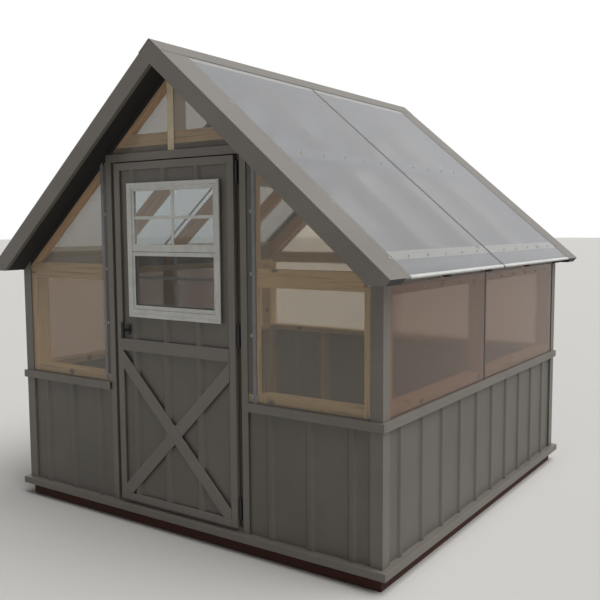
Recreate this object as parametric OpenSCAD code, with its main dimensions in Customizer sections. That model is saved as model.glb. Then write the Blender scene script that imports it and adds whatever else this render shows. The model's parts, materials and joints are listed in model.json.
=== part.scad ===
// Timber framed garden greenhouse, eight feet square, with ribbed steel below the sills,
// twin-wall glazing above, and a steel faced door that holds a single-hung window.
// Millimetres. The front, with the door, faces -Y. The origin is the centre of the footprint.

/* [Building] */
// Width over the wall framing
wall_w = 2438; // [2300:1:2800]
// Depth over the wall framing
wall_d = 2438; // [2300:1:2800]
// Height of the top of the side wall plates
plate_top = 1367; // [1300:1:1450]
// Height of the top of the sill plates
sill_top = 820; // [700:1:900]
// Slope of the roof
roof_angle = 40.5; // [39:0.25:43]
// Level reach of the roof past the side walls
eave_reach = 119; // [100:1:140]
// Reach of the roof past the gable walls
gable_reach = 150; // [120:1:200]

/* [Timber] */
// Thickness of the framing boards
board_t = 38; // [34:1:42]
// Width of the framing boards, and side of the corner posts
board_w = 89; // [84:1:94]
// Side of the treated base timbers
skid = 89; // [80:1:110]
// Level seat that a rafter has on its plate
seat = 36; // [28:1:44]
// Number of equal bays between the rafters
rafter_bays = 4; // [4:1:6]
// Depth of the ridge board
ridge_board_h = 140; // [120:1:160]
// Reach of the rafter tails past the wall
tail_reach = 43; // [30:1:60]
// Depth of the timber over the door
header_h = 114; // [100:1:120]

/* [Cladding] */
// Thickness of the folded sheet
sheet = 1; // [0.8:0.1:1.2]
// Spacing of the ribs
rib_pitch = 228.6; // [200:0.1:250]
// Height of a rib over its pan
rib_h = 10; // [8:0.5:13]
// Width of a rib at its top
rib_top = 22; // [16:1:28]
// Width of a rib at its foot
rib_foot = 50; // [44:1:56]
// First rib of the side walls, from the front corner
side_rib_start = 170; // [110:0.1:220]
// Rib nearest the door on the front wall, from the middle
front_rib_start = 605; // [580:1:640]
// How far the front wall's ribs lie to the right of an even spacing
front_rib_off = 8; // [0:1:12]
// Height of the face of the base trim
base_face = 39; // [30:1:50]
// Lap of the base trim over the base timber
base_lap = 19; // [15:1:35]
// Height of the face of the belt trim
belt_face = 43; // [30:1:50]
// Drop from the sill plate to the top of the belt trim
belt_drop = 45; // [40:1:60]
// How far the base trim stands out from the framing
base_stand = 42; // [24:0.5:48]
// How far the belt trim stands out from the framing
belt_stand = 26; // [19:0.5:30]
// Width of each face of the corner trims
corner_face = 64; // [50:1:80]
// Length of belt trim that wraps round each corner
belt_wrap = 118; // [90:1:150]
// Lap of the nailing flanges of the base trim behind the siding
base_flange = 38; // [25:1:50]

/* [Glazing] */
// Thickness of the twin-wall panels
panel_t = 8; // [6:0.5:10]
// Width of the joiner strips over the panel joints
joiner_w = 20; // [16:1:26]
// Thickness of the cap of a joiner strip
joiner_t = 2.5; // [2:0.5:3.5]
// Width of the pale strip over the front gable joint
strip_w = 43; // [36:1:50]
// Spacing of the panel screws
screw_pitch = 203; // [180:1:220]
// Spacing of the screws beside the door
jamb_screw_pitch = 300; // [260:1:310]
// How far the joints of the side and roof panels lie in front of the middle
joint_off = 40; // [0:1:60]

/* [Roof trim] */
// Width of the rake trim on top of the roof
rake_flange = 195; // [170:1:230]
// Depth of the face of the rake trim
rake_face = 92; // [86:1:100]
// Width of each leg of the ridge cap
ridge_leg = 96; // [80:1:110]
// Height of the level cut at the foot of the rakes over the wall plates
rake_foot_rise = 19; // [10:1:30]
// Place of the middle purlins, down the slope
mid_purlin = 859; // [700:1:950]
// Place of the eave purlins, down the slope
eave_purlin = 1622; // [1600:1:1640]

/* [Door] */
// Width of the door leaf
door_w = 830; // [800:1:850]
// Gap between the leaf and the lining
door_gap = 6; // [5:0.5:8]
// Drop from the rafters to the top corners of the leaf
door_drop = 44; // [40:1:60]
// Gap under the leaf
door_sill_gap = 3; // [2:1:20]
// Width of the folded edge trims of the leaf
stile_face = 40; // [34:1:46]
// Height of the middle rail
mid_rail_h = 66; // [60:1:80]
// Middle rail's lower edge, from the foot of the leaf
mid_rail_up = 837; // [780:1:860]
// Width of the crossed braces
brace_w = 68; // [55:1:75]
// Thickness of the middle rail and the braces
brace_t = 3; // [2:0.5:4]
// Height of the ribs of the leaf over their pan
door_rib_h = 13; // [10:0.5:14]
// Clearance between the timber inside the leaf and the window's body
core_gap = 10; // [4:1:14]
// Middle rib of the leaf, from its centre line
door_rib = -58; // [-65:1:-50]
// Thickness of the lining boards
liner_t = 25; // [22:1:28]
// Width of the face of the door casings
casing_face = 38; // [32:1:44]
// How far the casings stand out from the framing
casing_stand = 14; // [12:0.5:15]

/* [Hinges and latch] */
// Length of a hinge
hinge_h = 108; // [90:1:120]
// Lowest hinge's middle, from the foot of the leaf
hinge_low = 100; // [90:1:130]
// Middle hinge's middle, from the foot of the leaf
hinge_mid = 970; // [900:1:1000]
// Highest hinge's middle, from the top of the leaf
hinge_high = 83; // [75:1:100]
// Radius of the hinge knuckles
knuckle_r = 6.5; // [6:0.1:6.5]
// Radius of the hinge pins
pin_r = 3; // [2.5:0.1:3.5]
// Latch spindle, from the free edge of the leaf
latch_in = 75; // [72:1:78]
// Latch spindle, from the foot of the leaf
latch_up = 952; // [930:1:970]
// Radius of the latch spindle
spindle_r = 6; // [5:0.5:7]
// Length of the turning grip
grip_len = 92; // [80:1:110]
// Reach of the latch arm from the spindle
arm_len = 100; // [92:1:110]

/* [Window] */
// Width of the window over its fin
win_w = 642; // [600:1:650]
// Height of the window over its fin
win_h = 715; // [660:1:730]
// Drop from the top of the leaf to the window
win_drop = 109; // [100:1:120]
// Offset of the window from the middle of the leaf
win_off = 6; // [0:1:14]
// Width of the frame's face at the sides and the top
win_face = 30; // [26:1:34]
// Height of the frame's face at the sill
win_sill = 42; // [36:1:48]
// Height of the meeting rails
meeting_h = 38; // [30:1:44]
// Width of the stiles and rails of the sashes
sash_face = 20; // [18:1:26]
// Width of the frame of the insect screen
screen_face = 22; // [18:1:30]
// Thickness of the frame of the insect screen
screen_t = 6; // [5:0.5:8]
// Width of the glazing bars
bar_w = 16; // [12:1:20]

/* [Hidden] */
$fn = 48;

// Clearances
running = 0.05;
seat_gap = 0.3;
slide_gap = 0.5;
far = 4000;

// Walls and levels
half_w = wall_w / 2;
half_d = wall_d / 2;
floor_z = skid + board_t;
sill_z = sill_top - board_t;
plate_z = plate_top - board_t;
base_z = skid - base_lap;
base_top = base_z + base_face;
belt_top = sill_top - belt_drop;
belt_z = belt_top - belt_face;
glass_foot = belt_top + seat_gap;
girt_drop = 23;
girt_z = plate_top - girt_drop;

// Layers of a wall, measured outwards from the framing
pan_out = 2 * sheet;
rib_out = pan_out + rib_h;
corner_out = rib_out + sheet;
panel_out = sheet + panel_t;
corner_in = corner_out - corner_face;

// Roof planes: a run goes down the slope from the ridge, a rise goes square to it,
// and both start where the two planes of purlin tops meet
sin_a = sin(roof_angle);
cos_a = cos(roof_angle);
tan_a = tan(roof_angle);
function under_rafter(x) = plate_top + (half_w - seat - x) * tan_a;
apex_z = under_rafter(0) + (board_w + board_t) / cos_a;
function at_slope(run, rise) = [run * cos_a + rise * sin_a, apex_z - run * sin_a + rise * cos_a];
function slope_z(x, rise) = apex_z + rise / cos_a - x * tan_a;
cover = panel_t + sheet;
roof_run = (half_w + eave_reach - cover * sin_a) / cos_a;
rake_low = cover - rake_face;
rake_y = half_d + gable_reach;
rake_in = rake_y - rake_flange;
rake_foot = plate_top + rake_foot_rise;
ridge_purlin = board_w / 2 + board_t * tan_a + 1;
tail_z = plate_top + 16;
side_glass_top = tail_z - 4;
rafter_step = (wall_d - board_t) / rafter_bays;
function rafter_at(i) = -half_d + i * rafter_step - (2 * i == rafter_bays ? joint_off : 0);
// Where the joint of a side wall lies in the wall's own frame
function joint_at(k) = k == 1 ? -joint_off : k == 3 ? joint_off : 0;
panel_edge = 1.6;
web_t = 2.6;

// Door
door_x = door_w / 2;
door_z = floor_z + door_sill_gap;
door_top = under_rafter(door_x) - door_drop;
liner_in = door_x + door_gap;
liner_out = liner_in + liner_t;
jamb_out = liner_out + board_w;
head_z = door_top + door_gap;
header_z = head_z + liner_t;
casing_out = liner_out + casing_face;
header_top = header_z + header_h;
door_pan = 8;
door_rib_out = door_pan + door_rib_h;
door_face = door_rib_out + sheet;
core_back = door_pan - sheet - board_t;
door_back = core_back - sheet;
stop_w = 12;
stop_t = 13;
stop_front = door_back - seat_gap;
liner_back = stop_front - stop_t;
liner_front = 3.5;
inner_x = door_x - stile_face;
mid_rail_z = door_z + mid_rail_up;
low_rail_top = door_z + stile_face;

// Hinge line
pin_x = liner_in + knuckle_r + 0.5;
pin_out = liner_front + 2 + knuckle_r;
leaf_t = 2;
hinge_mids = [door_z + hinge_low, door_z + hinge_mid, door_top - hinge_high];

// Latch
latch_x = latch_in - door_x;
latch_z = door_z + latch_up;
arm_t = 4;
arm_front = liner_back - 3;
grip_out = 56;
rose_t = 6;

// Window
win_x = win_off;
win_top = door_top - win_drop;
win_z = win_top - win_h;
fin = 12;
fin_t = 6;
lip = 8;
win_face_out = door_rib_out + fin_t;
sash_t = 14.5;
parting_t = 2;
upper_front = door_rib_out - slide_gap;
upper_back = upper_front - sash_t;
lower_front = upper_back - slide_gap - parting_t - slide_gap;
lower_back = lower_front - sash_t;
frame_back = lower_back - slide_gap - parting_t;
open_x = win_w / 2 - win_face;
track_x = open_x + lip;
sash_x = track_x - 2;
open_z = win_z + win_sill;
open_top = win_top - win_face;
track_top = open_top + lip;
meet_z = (open_z + open_top) / 2 - meeting_h / 2 + 7;
glass_t = 3;

// Colours
paint = "#77736b";
timber = "#c9a87c";
treated = "#4a2b1c";
clear = [0.86, 0.88, 0.88, 0.55];
white = "#ecece8";
black = "#1a1a1b";
dark = "#3b3435";

// Folded sheet: a path with a thickness laid on its left side, with mitred corners
function unit(v) = v / norm(v);
function left_of(v) = [-v[1], v[0]];
function mitred(a, b, c, t) =
    let (n = left_of(unit(b - a)), m = left_of(unit(c - b)))
    b + (n + m) * t / (1 + n * m);
function folded(p, t) =
    let (e = len(p) - 1)
    concat(p, [for (i = [e:-1:0])
        i == e ? p[e] + t * left_of(unit(p[e] - p[e - 1]))
        : i == 0 ? p[0] + t * left_of(unit(p[1] - p[0]))
        : mitred(p[i - 1], p[i], p[i + 1], t)]);

// Points of a ribbed panel: pan and ribs along a wall
function ribbed(from, to, ribs, pan, high) = concat(
    [[from, -pan]],
    [for (c = ribs) each [
        [c - rib_foot / 2, -pan], [c - rib_top / 2, -pan - high],
        [c + rib_top / 2, -pan - high], [c + rib_foot / 2, -pan]]],
    [[to, -pan]]);

// A wall's own frame: x along it from left to right as seen from outside, y inwards, z up
// Walls are counted from the front, turning to the right
module on_wall(k) {
    rotate([0, 0, 90 * k]) translate([0, k % 2 == 0 ? -half_d : -half_w, 0]) children();
}
function half_run(k) = k % 2 == 0 ? half_w : half_d;

// A folded section carried along a wall; its points are [distance outwards, height]
module rail(k, from, to, path) {
    on_wall(k) translate([from, 0, 0]) rotate([90, 0, 90]) linear_extrude(to - from)
        polygon(folded([for (p = path) [-p[0], p[1]]], sheet));
}

// Keeps what lies on one wall's side of the mitres at the corners
module mitre_at_corners(k, g = 0) {
    e = half_run(k);
    r = 80;
    intersection() {
        union() children();
        on_wall(k) linear_extrude(far)
            polygon([[g - e - r, -r], [e + r - g, -r], [e - r - g, r], [g - e + r, r]]);
    }
}

// A board or plate in a wall's own frame, from its low corner to its high corner
module block(k, low, high) {
    on_wall(k) translate(low) cube(high - low);
}

// A prism in the plane of the gables: points are [x, z], from one depth to the other
module gable_prism(from, to, pts) {
    translate([0, to, 0]) rotate([90, 0, 0]) linear_extrude(to - from) polygon(pts);
}

// Frame of a roof slope: x is the run, y the depth of the house, z the rise
module on_slope(side) {
    mirror([side < 0 ? 1 : 0, 0, 0]) intersection() {
        translate([0, 0, apex_z]) rotate([0, roof_angle, 0]) children();
        translate([seat_gap / 2, -far / 2, 0]) cube([far, far, far]);
    }
}
module both_slopes() {
    for (side = [-1, 1]) on_slope(side) children();
}
module slope_block(low, high) {
    translate(low) cube(high - low);
}
module under_the_rafters() {
    intersection() {
        union() children();
        gable_prism(-half_d - 1, half_d + 1, [
            [-half_w, 0], [half_w, 0], [half_w, under_rafter(half_w)],
            [0, under_rafter(0)], [-half_w, under_rafter(half_w)]]);
    }
}
// Outline of a gable under a plane that lies a rise below the purlin tops
function under_rise(rise, low, left, right) = concat(
    [[left, low], [right, low], [right, slope_z(abs(right), rise)]],
    left < 0 && right > 0 ? [[0, slope_z(0, rise)]] : [],
    [[left, slope_z(abs(left), rise)]]);

// Timber frame
module base_timbers() {
    color(treated) {
        for (k = [0, 2]) block(k, [-half_w, 0, 0], [half_w, skid, skid]);
        near = half_d - skid - seat_gap;
        for (k = [1, 3]) block(k, [-near, 0, 0], [near, skid, skid]);
    }
}
module bottom_plates() {
    color(timber) {
        for (k = [0, 2]) block(k, [-half_w, 0, skid], [half_w, board_w, floor_z]);
        near = half_d - board_w - seat_gap;
        for (k = [1, 3]) block(k, [-near, 0, skid], [near, board_w, floor_z]);
    }
}
module corner_posts() {
    color(timber) for (sx = [-1, 1], sy = [-1, 1])
        translate([sx * (half_w - board_w / 2), sy * (half_d - board_w / 2), floor_z])
            linear_extrude(plate_z - floor_z) square(board_w, center = true);
}
module stud(k, u, from, to) {
    block(k, [u - board_t / 2, 0, from], [u + board_t / 2, board_w, to]);
}
module wall_studs() {
    quarter = wall_d / 4;
    color(timber) {
        for (k = [1:3], u = [-quarter, joint_at(k), quarter]) stud(k, u, floor_z, sill_z);
        for (k = [1, 3]) stud(k, joint_at(k), sill_top, plate_z);
        block(2, [-board_t / 2, 0, sill_top], [board_t / 2, board_t, girt_z]);
    }
}
module sill_plates() {
    post = half_w - board_w;
    color(timber) {
        for (k = [1, 2, 3])
            block(k, [board_w - half_run(k), 0, sill_z], [half_run(k) - board_w, board_w, sill_top]);
        block(0, [-post, 0, sill_z], [-jamb_out, board_w, sill_top]);
        block(0, [jamb_out, 0, sill_z], [post, board_w, sill_top]);
    }
}
module top_plates() {
    color(timber) for (k = [1, 3])
        block(k, [-half_d, 0, plate_z], [half_d, board_w, plate_top]);
}
module gable_girts() {
    post = half_w - board_w;
    top = girt_z + board_w;
    color(timber) under_the_rafters() {
        block(0, [-post, 0, girt_z], [-jamb_out, board_t, top]);
        block(0, [jamb_out, 0, girt_z], [post, board_t, top]);
        block(2, [-post, 0, girt_z], [post, board_t, top]);
    }
}
module door_jambs() {
    color(timber) under_the_rafters() for (s = [-1, 1])
        block(0, [min(s * liner_out, s * jamb_out), 0, floor_z],
            [max(s * liner_out, s * jamb_out), board_t, far / 2]);
}
module door_liner() {
    color("#8b7a66") {
        for (k = [-1, 1])
            block(0, [min(k * liner_in, k * liner_out), -liner_front, floor_z],
                [max(k * liner_in, k * liner_out), -liner_back, head_z - seat_gap]);
        under_the_rafters() block(0, [-liner_out, 0, head_z], [liner_out, -liner_back, header_z]);
    }
}
module door_stops() {
    color("#8b7a66") {
        for (s = [-1, 1])
            block(0, [min(s * liner_in, s * (liner_in - stop_w)), -stop_front, floor_z],
                [max(s * liner_in, s * (liner_in - stop_w)), -liner_back, head_z]);
        near = liner_in - stop_w - seat_gap;
        block(0, [-near, -stop_front, head_z - stop_w], [near, -liner_back, head_z]);
    }
}
module door_header() {
    color(timber) under_the_rafters()
        block(0, [-liner_out, 0, header_z], [liner_out, board_t, header_top]);
}
module king_posts() {
    top = apex_z - board_t / cos_a - board_t / 2 * tan_a - ridge_board_h;
    color(timber) {
        block(0, [-board_t / 2, 0, header_top], [board_t / 2, board_w, top - seat_gap]);
        block(2, [-board_t / 2, 0, girt_z + board_w], [board_t / 2, board_w, top - seat_gap]);
    }
}
module rafter_outline() {
    near = board_t / 2;
    end = half_w + tail_reach;
    top = board_w / cos_a;
    polygon([
        [near, under_rafter(near) + top], [end, under_rafter(end) + top], [end, tail_z],
        [half_w, tail_z], [half_w, plate_top], [half_w - seat, plate_top],
        [near, under_rafter(near)]]);
}
module rafters() {
    color(timber) for (side = [0, 1], i = [0:rafter_bays])
        translate([0, rafter_at(i) + board_t, 0])
            mirror([side, 0, 0]) rotate([90, 0, 0]) linear_extrude(board_t) rafter_outline();
}
module purlins() {
    end = rake_y - sheet - board_t;
    color(timber) both_slopes() for (c = [ridge_purlin, mid_purlin, eave_purlin])
        slope_block([c - board_w / 2, -end, -board_t], [c + board_w / 2, end, 0]);
}
module ridge_board() {
    top = apex_z - board_t / cos_a - board_t / 2 * tan_a;
    color(timber) translate([-board_t / 2, -half_d, top - ridge_board_h])
        cube([board_t, wall_d, ridge_board_h]);
}
module eave_blocks() {
    high = under_rafter(half_w) + board_w / cos_a - 2;
    color(timber) for (m = [0, 1], i = [0:rafter_bays - 1]) mirror([m, 0, 0])
        block(1, [rafter_at(i) + board_t, 0, plate_top], [rafter_at(i + 1), board_t, high]);
}
module fly_rafters() {
    color(timber) both_slopes() for (e = [-1, 1]) intersection() {
        slope_block([0, e < 0 ? sheet - rake_y : rake_y - sheet - board_t,
                rake_low + 2 * (sheet + seat_gap)],
            [roof_run - 2 * sheet - seat_gap,
                e < 0 ? sheet - rake_y + board_t : rake_y - sheet, panel_t - seat_gap]);
        above_level(rake_foot + sheet + seat_gap);
    }
}
// Everything over a level, in the frame of a slope
module above_level(level) {
    rotate([0, -roof_angle, 0]) translate([0, -far / 2, level - apex_z]) cube([far, far, far]);
}

// Ribbed steel
module siding(k, from, to, ribs) {
    e = rib_foot / 2;
    inside = [for (c = ribs) if (c > from + e && c < to - e) c];
    color(paint) on_wall(k) translate([0, 0, base_top + seat_gap])
        linear_extrude(belt_top - sheet - base_top - 2 * seat_gap)
            polygon(folded(ribbed(from, to, inside, pan_out, rib_h), sheet));
}
module siding_front() {
    end = half_w - pan_out;
    near = liner_out + 14;
    left = front_ribs(-1);
    siding(0, near, end, front_ribs(1));
    siding(0, -end, -near, [for (i = [len(left) - 1:-1:0]) -left[i]]);
}
// Ribs of one side of the front wall, outwards from the door
function front_ribs(s) =
    [for (c = [front_rib_start + s * front_rib_off:rib_pitch:half_w - pan_out]) c];
// A list of ribs has to run from low to high along its wall
module siding_side(k, first, step) {
    end = half_d - pan_out;
    siding(k, -end, end, step > 0 ? [for (c = [first:rib_pitch:end]) c]
        : [for (i = [20:-1:0]) first - i * rib_pitch]);
}
module siding_right() siding_side(1, side_rib_start - half_d, 1);
module siding_left() siding_side(3, half_d - side_rib_start, -1);
module siding_back() {
    end = half_w - pan_out;
    half_count = floor((end - rib_foot) / rib_pitch);
    siding(2, -end, end, [for (i = [-half_count:half_count]) i * rib_pitch]);
}

// Folded trims
function base_path() = [
    [sheet, base_top + base_flange], [sheet, base_top], [base_stand, base_top],
    [base_stand, base_z], [base_stand - 12, base_z]];
module base_trims() {
    over = base_stand + 20;
    high = base_top + base_flange + 1;
    leg = sheet + seat_gap;
    color(paint) for (k = [0:3]) difference() {
        mitre_at_corners(k, seat_gap * 0.7)
            rail(k, -half_run(k) - over, half_run(k) + over, base_path());
        if (k == 0) {
            block(0, [-liner_out - leg, -sheet - 0.5, floor_z], [liner_out + leg, 1, high]);
            for (m = [0, 1]) mirror([m, 0, 0])
                block(0, [liner_out - seat_gap, -sheet - 0.5, base_top],
                    [liner_out + leg, 1, high]);
        }
    }
}
function belt_path() = [
    [sheet, sill_top], [sheet, belt_top], [belt_stand, belt_top],
    [belt_stand, belt_z], [corner_out, belt_z]];
module belt(k) {
    over = belt_stand + 14;
    far_end = half_run(k) + over;
    other = half_run(k + 1);
    color(paint) {
        mitre_at_corners(k) rail(k, -far_end, far_end, belt_path());
        mitre_at_corners(k - 1) rail(k - 1, other - belt_wrap, other + over, belt_path());
        mitre_at_corners(k + 1) rail(k + 1, -other - over, belt_wrap - other, belt_path());
    }
}
module belt_trim_right() belt(1);
module belt_trim_left() belt(3);
module belt_beside_door() {
    near = casing_out + seat_gap;
    end = half_w - belt_wrap - seat_gap;
    color(paint) for (s = [-1, 1]) difference() {
        rail(0, min(s * near, s * end), max(s * near, s * end), belt_path());
        block(0, [min(s * near, s * (jamb_out + 1)) - 1, -sheet - 0.2, belt_top + sheet],
            [max(s * near, s * (jamb_out + 1)), 1, sill_top + 1]);
    }
}
module belt_behind() {
    end = half_w - belt_wrap - seat_gap;
    color(paint) rail(2, -end, end, belt_path());
}
module belt_trims_ends() {
    belt_beside_door();
    belt_behind();
}
// Plan of a corner trim at the back right corner, hemmed back to a given depth
module corner_plan(hem) {
    x = half_w + corner_out;
    y = half_d + corner_out;
    polygon(folded([
        [x - corner_face, half_d + hem], [x - corner_face, y], [x, y],
        [x, y - corner_face], [half_w + hem, y - corner_face]], -sheet));
}
module corner_trims() {
    color(paint) for (i = [0, 1], j = [0, 1]) mirror([i, 0, 0]) mirror([0, j, 0]) {
        translate([0, 0, base_top]) linear_extrude(belt_top - sheet - base_top)
            corner_plan(pan_out);
        difference() {
            intersection() {
                translate([0, 0, belt_top]) linear_extrude(far) corner_plan(panel_out);
                gable_prism(0, far, [[0, 0], [half_w + 100, 0], [half_w + 100, rake_foot],
                    [foot_x(), rake_foot], [0, slope_z(0, rake_low)]]);
            }
            translate([half_w, 0, side_glass_top]) cube([100, half_d + panel_out, far]);
        }
    }
}
// Where the sloping underside of the rakes meets their level foot
function foot_x() = (slope_z(0, rake_low) - rake_foot) / tan_a;

module casing_plan() {
    polygon(folded([
        [liner_out + sheet, 0], [liner_out + sheet, sheet - casing_stand],
        [casing_out - sheet, sheet - casing_stand], [casing_out - sheet, -panel_out]], -sheet));
}
module door_casings() {
    foot = base_top;
    color(paint) {
        for (s = [0, 1]) mirror([s, 0, 0]) on_wall(0) {
            translate([0, 0, foot]) linear_extrude(head_z - seat_gap - foot) casing_plan();
            translate([liner_out, -sheet, sill_top])
                cube([board_w, sheet, head_z - seat_gap - sill_top]);
        }
        intersection() {
            rail(0, -casing_out, casing_out, [
                [sheet, head_z + 75], [sheet, head_z + sheet],
                [casing_stand - sheet, head_z + sheet],
                [casing_stand - sheet, head_z + belt_face - sheet],
                [panel_out, head_z + belt_face - sheet]]);
            gable_prism(-far / 2, 0, under_rise(rake_low, 0, -half_w, half_w));
        }
    }
}

// Roof trims
module rake_trims(e) {
    color(paint) both_slopes() intersection() {
        translate([-30, 0, 0]) rotate([90, 0, 90]) linear_extrude(roof_run + 30)
            mirror([e < 0 ? 0 : 1, 0]) polygon(folded([
                [-rake_in, cover], [-rake_y, cover], [-rake_y, rake_low],
                [24 - rake_y, rake_low]], sheet));
        above_level(rake_foot);
    }
}
module rake_trims_front() rake_trims(-1);
module rake_trims_back() rake_trims(1);
// The soffit follows the rake's lower edge, its level foot and its square end
module rake_soffits() {
    low = rake_low + sheet + seat_gap;
    near = half_d + panel_out;
    end = roof_run;
    bend_x = (slope_z(0, low) - rake_foot) / tan_a;
    rise = (rake_foot - apex_z + end * sin_a) / cos_a;
    fold_to = corner_in + half_w - sheet;
    fold_in = strip_w / 2 + 1;
    trim_line = 22;
    color(paint) for (m = [0, 1], e = [0, 1]) mirror([m, 0, 0]) mirror([0, e, 0]) {
        gable_prism(-rake_y + sheet + seat_gap, -near, folded([
            [0, slope_z(0, low)], [bend_x, rake_foot], at_slope(end, rise),
            at_slope(end, panel_t - seat_gap)], sheet));
        difference() {
            gable_prism(-near - sheet, -near, [
                [fold_in, slope_z(fold_in, low - trim_line)], [fold_to, slope_z(fold_to, low - trim_line)],
                [fold_to, slope_z(fold_to, low)], [fold_in, slope_z(fold_in, low)]]);
            if (e == 0) translate([0, -far, 0])
                cube([casing_out + 1, far, head_z + belt_face + 1]);
        }
    }
}
module ridge_cap() {
    rise = cover + sheet;
    run = ridge_leg - rise * tan_a;
    right = at_slope(run, rise);
    color(paint) gable_prism(-rake_y - 2, rake_y + 2, folded([
        [-right[0], right[1]], [0, apex_z + rise / cos_a], right], -sheet));
}
module eave_channels() {
    near = joiner_w / 2 + 1;
    end = rake_in - 1;
    color("#c9cbc9") both_slopes()
        for (span = [[-end, -joint_off - near], [near - joint_off, end]])
        translate([0, span[1], 0]) rotate([90, 0, 0]) linear_extrude(span[1] - span[0])
            polygon(folded([
                [roof_run - 16, cover], [roof_run, cover], [roof_run, -sheet],
                [roof_run - 16, -sheet]], -sheet));
}

// Glazing
module roof_panels(side) {
    end = roof_run - sheet - seat_gap;
    color(clear) on_slope(side) {
        slope_block([14, -half_d, 0], [end, -joint_off - panel_edge, panel_t]);
        slope_block([14, panel_edge - joint_off, 0], [end, half_d, panel_t]);
    }
}
module roof_panels_right() roof_panels(1);
module roof_panels_left() roof_panels(-1);
// Joiner: a web between two panels and a crowned cap over both
module joiner_plan(cap) {
    polygon([
        [-web_t / 2, 0], [web_t / 2, 0], [web_t / 2, panel_t], [cap / 2, panel_t],
        [cap / 2, panel_t + joiner_t * 0.4], [cap * 0.3, panel_t + joiner_t],
        [-cap * 0.3, panel_t + joiner_t], [-cap / 2, panel_t + joiner_t * 0.4],
        [-cap / 2, panel_t], [-web_t / 2, panel_t]]);
}
module roof_joiners() {
    from = ridge_leg + 2;
    color(dark) both_slopes() translate([from, -joint_off, 0])
        rotate([90, 0, 90]) linear_extrude(roof_run + 4 - from) joiner_plan(joiner_w);
}
module glazing_pane(k, pts) {
    color(clear) on_wall(k) translate([0, -sheet, 0]) rotate([90, 0, 0])
        linear_extrude(panel_t) polygon(pts);
}
glass_rise = -75;
module glazing_front() {
    near = liner_out + 6;
    step = casing_out + 2;
    end = half_w - pan_out;
    for (m = [0, 1]) mirror([m, 0, 0]) glazing_pane(0, [
        [near, glass_foot], [end, glass_foot], [end, slope_z(end, glass_rise)],
        [step, slope_z(step, glass_rise)], [step, head_z - 2], [near, head_z - 2]]);
    gable_panes();
}
module gable_panes() {
    end = casing_out;
    low = head_z + sheet + seat_gap;
    for (m = [0, 1]) mirror([m, 0, 0]) glazing_pane(0, [
        [panel_edge, low], [end, low], [end, slope_z(end, glass_rise)],
        [panel_edge, slope_z(panel_edge, glass_rise)]]);
}
module glazing_side(k) {
    end = half_d - pan_out;
    joint = joint_at(k);
    for (span = [[-end, joint - panel_edge], [joint + panel_edge, end]]) glazing_pane(k, [
        [span[0], glass_foot], [span[1], glass_foot], [span[1], side_glass_top],
        [span[0], side_glass_top]]);
}
module glazing_right() glazing_side(1);
module glazing_left() glazing_side(3);
module glazing_back() {
    end = half_w - pan_out;
    for (m = [0, 1]) mirror([m, 0, 0]) glazing_pane(2, [
        [panel_edge, glass_foot], [end, glass_foot], [end, slope_z(end, glass_rise)],
        [panel_edge, slope_z(panel_edge, glass_rise)]]);
}
module wall_joiner(k, top) {
    color(dark) on_wall(k) translate([joint_at(k), -sheet, glass_foot]) mirror([0, 1, 0])
        linear_extrude(top - glass_foot) joiner_plan(joiner_w);
}
module wall_joiners() {
    wall_joiner(1, side_glass_top);
    wall_joiner(3, side_glass_top);
    intersection() {
        wall_joiner(2, apex_z);
        gable_prism(0, far, under_rise(rake_low, 0, -half_w, half_w));
    }
}
module gable_strip() {
    color("#d6c9a8") intersection() {
        on_wall(0) translate([0, -sheet, head_z + belt_face]) mirror([0, 1, 0])
            linear_extrude(far) joiner_plan(strip_w);
        gable_prism(-far, 0, under_rise(rake_low, 0, -half_w, half_w));
    }
}

// Screw with a washer and a six-sided head, standing on its seat
module screw() {
    cylinder(r = 6, h = 1.5, $fn = 20);
    translate([0, 0, 1.5]) cylinder(r = 4.5, h = 3.5, $fn = 6);
}
module wall_screw(k, u, z) {
    on_wall(k) translate([u, -panel_out, z]) rotate([90, 0, 0]) screw();
}
module panel_screws() {
    rake_step = (eave_purlin - mid_purlin) / 2;
    color("#8f8f8c") {
        both_slopes() for (e = [-1, 1]) {
            for (run = [mid_purlin, eave_purlin], i = [1:5])
                translate([run, e * i * screw_pitch, panel_t]) screw();
            for (i = [-1:2])
                translate([mid_purlin + i * rake_step, e * (rake_in + 12), cover]) screw();
        }
        for (k = [1, 3], e = [-1, 1], i = [1:5])
            wall_screw(k, e * i * screw_pitch, plate_z + board_t / 2);
        for (s = [-1, 1], i = [0:3])
            wall_screw(0, s * (liner_out + 59), sill_top - 12 + i * jamb_screw_pitch);
    }
}

// Hinges: five knuckles on one pin, the odd ones on the lining and the even ones on the leaf
knuckle = hinge_h / 5;
module on_pin(z) {
    translate([pin_x, -half_d - pin_out, z]) children();
}
module knuckles(which) {
    for (i = which) translate([0, 0, i * knuckle + seat_gap / 2])
        cylinder(r = knuckle_r, h = knuckle - seat_gap, $fn = 32);
}
module pin_hole() {
    translate([0, 0, -1]) cylinder(r = pin_r + running, h = hinge_h + 2, $fn = 32);
}
module hinge_jamb_leaves() {
    edge = liner_out - pin_x;
    back = pin_out - liner_front;
    color(black) for (z = hinge_mids) on_pin(z - hinge_h / 2) difference() {
        union() {
            knuckles([0, 2, 4]);
            translate([2, back - leaf_t, 0]) cube([edge - 2, leaf_t, hinge_h]);
            for (i = [0, 2, 4]) translate([-4, 2, i * knuckle + seat_gap / 2])
                cube([8, back - 2, knuckle - seat_gap]);
        }
        pin_hole();
    }
}
module hinge_pins() {
    color(black) for (z = hinge_mids) on_pin(z - hinge_h / 2) {
        cylinder(r = pin_r, h = hinge_h, $fn = 32);
        for (h = [-3, hinge_h]) translate([0, 0, h]) cylinder(r = knuckle_r - 1.5, h = 3, $fn = 32);
    }
}
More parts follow.
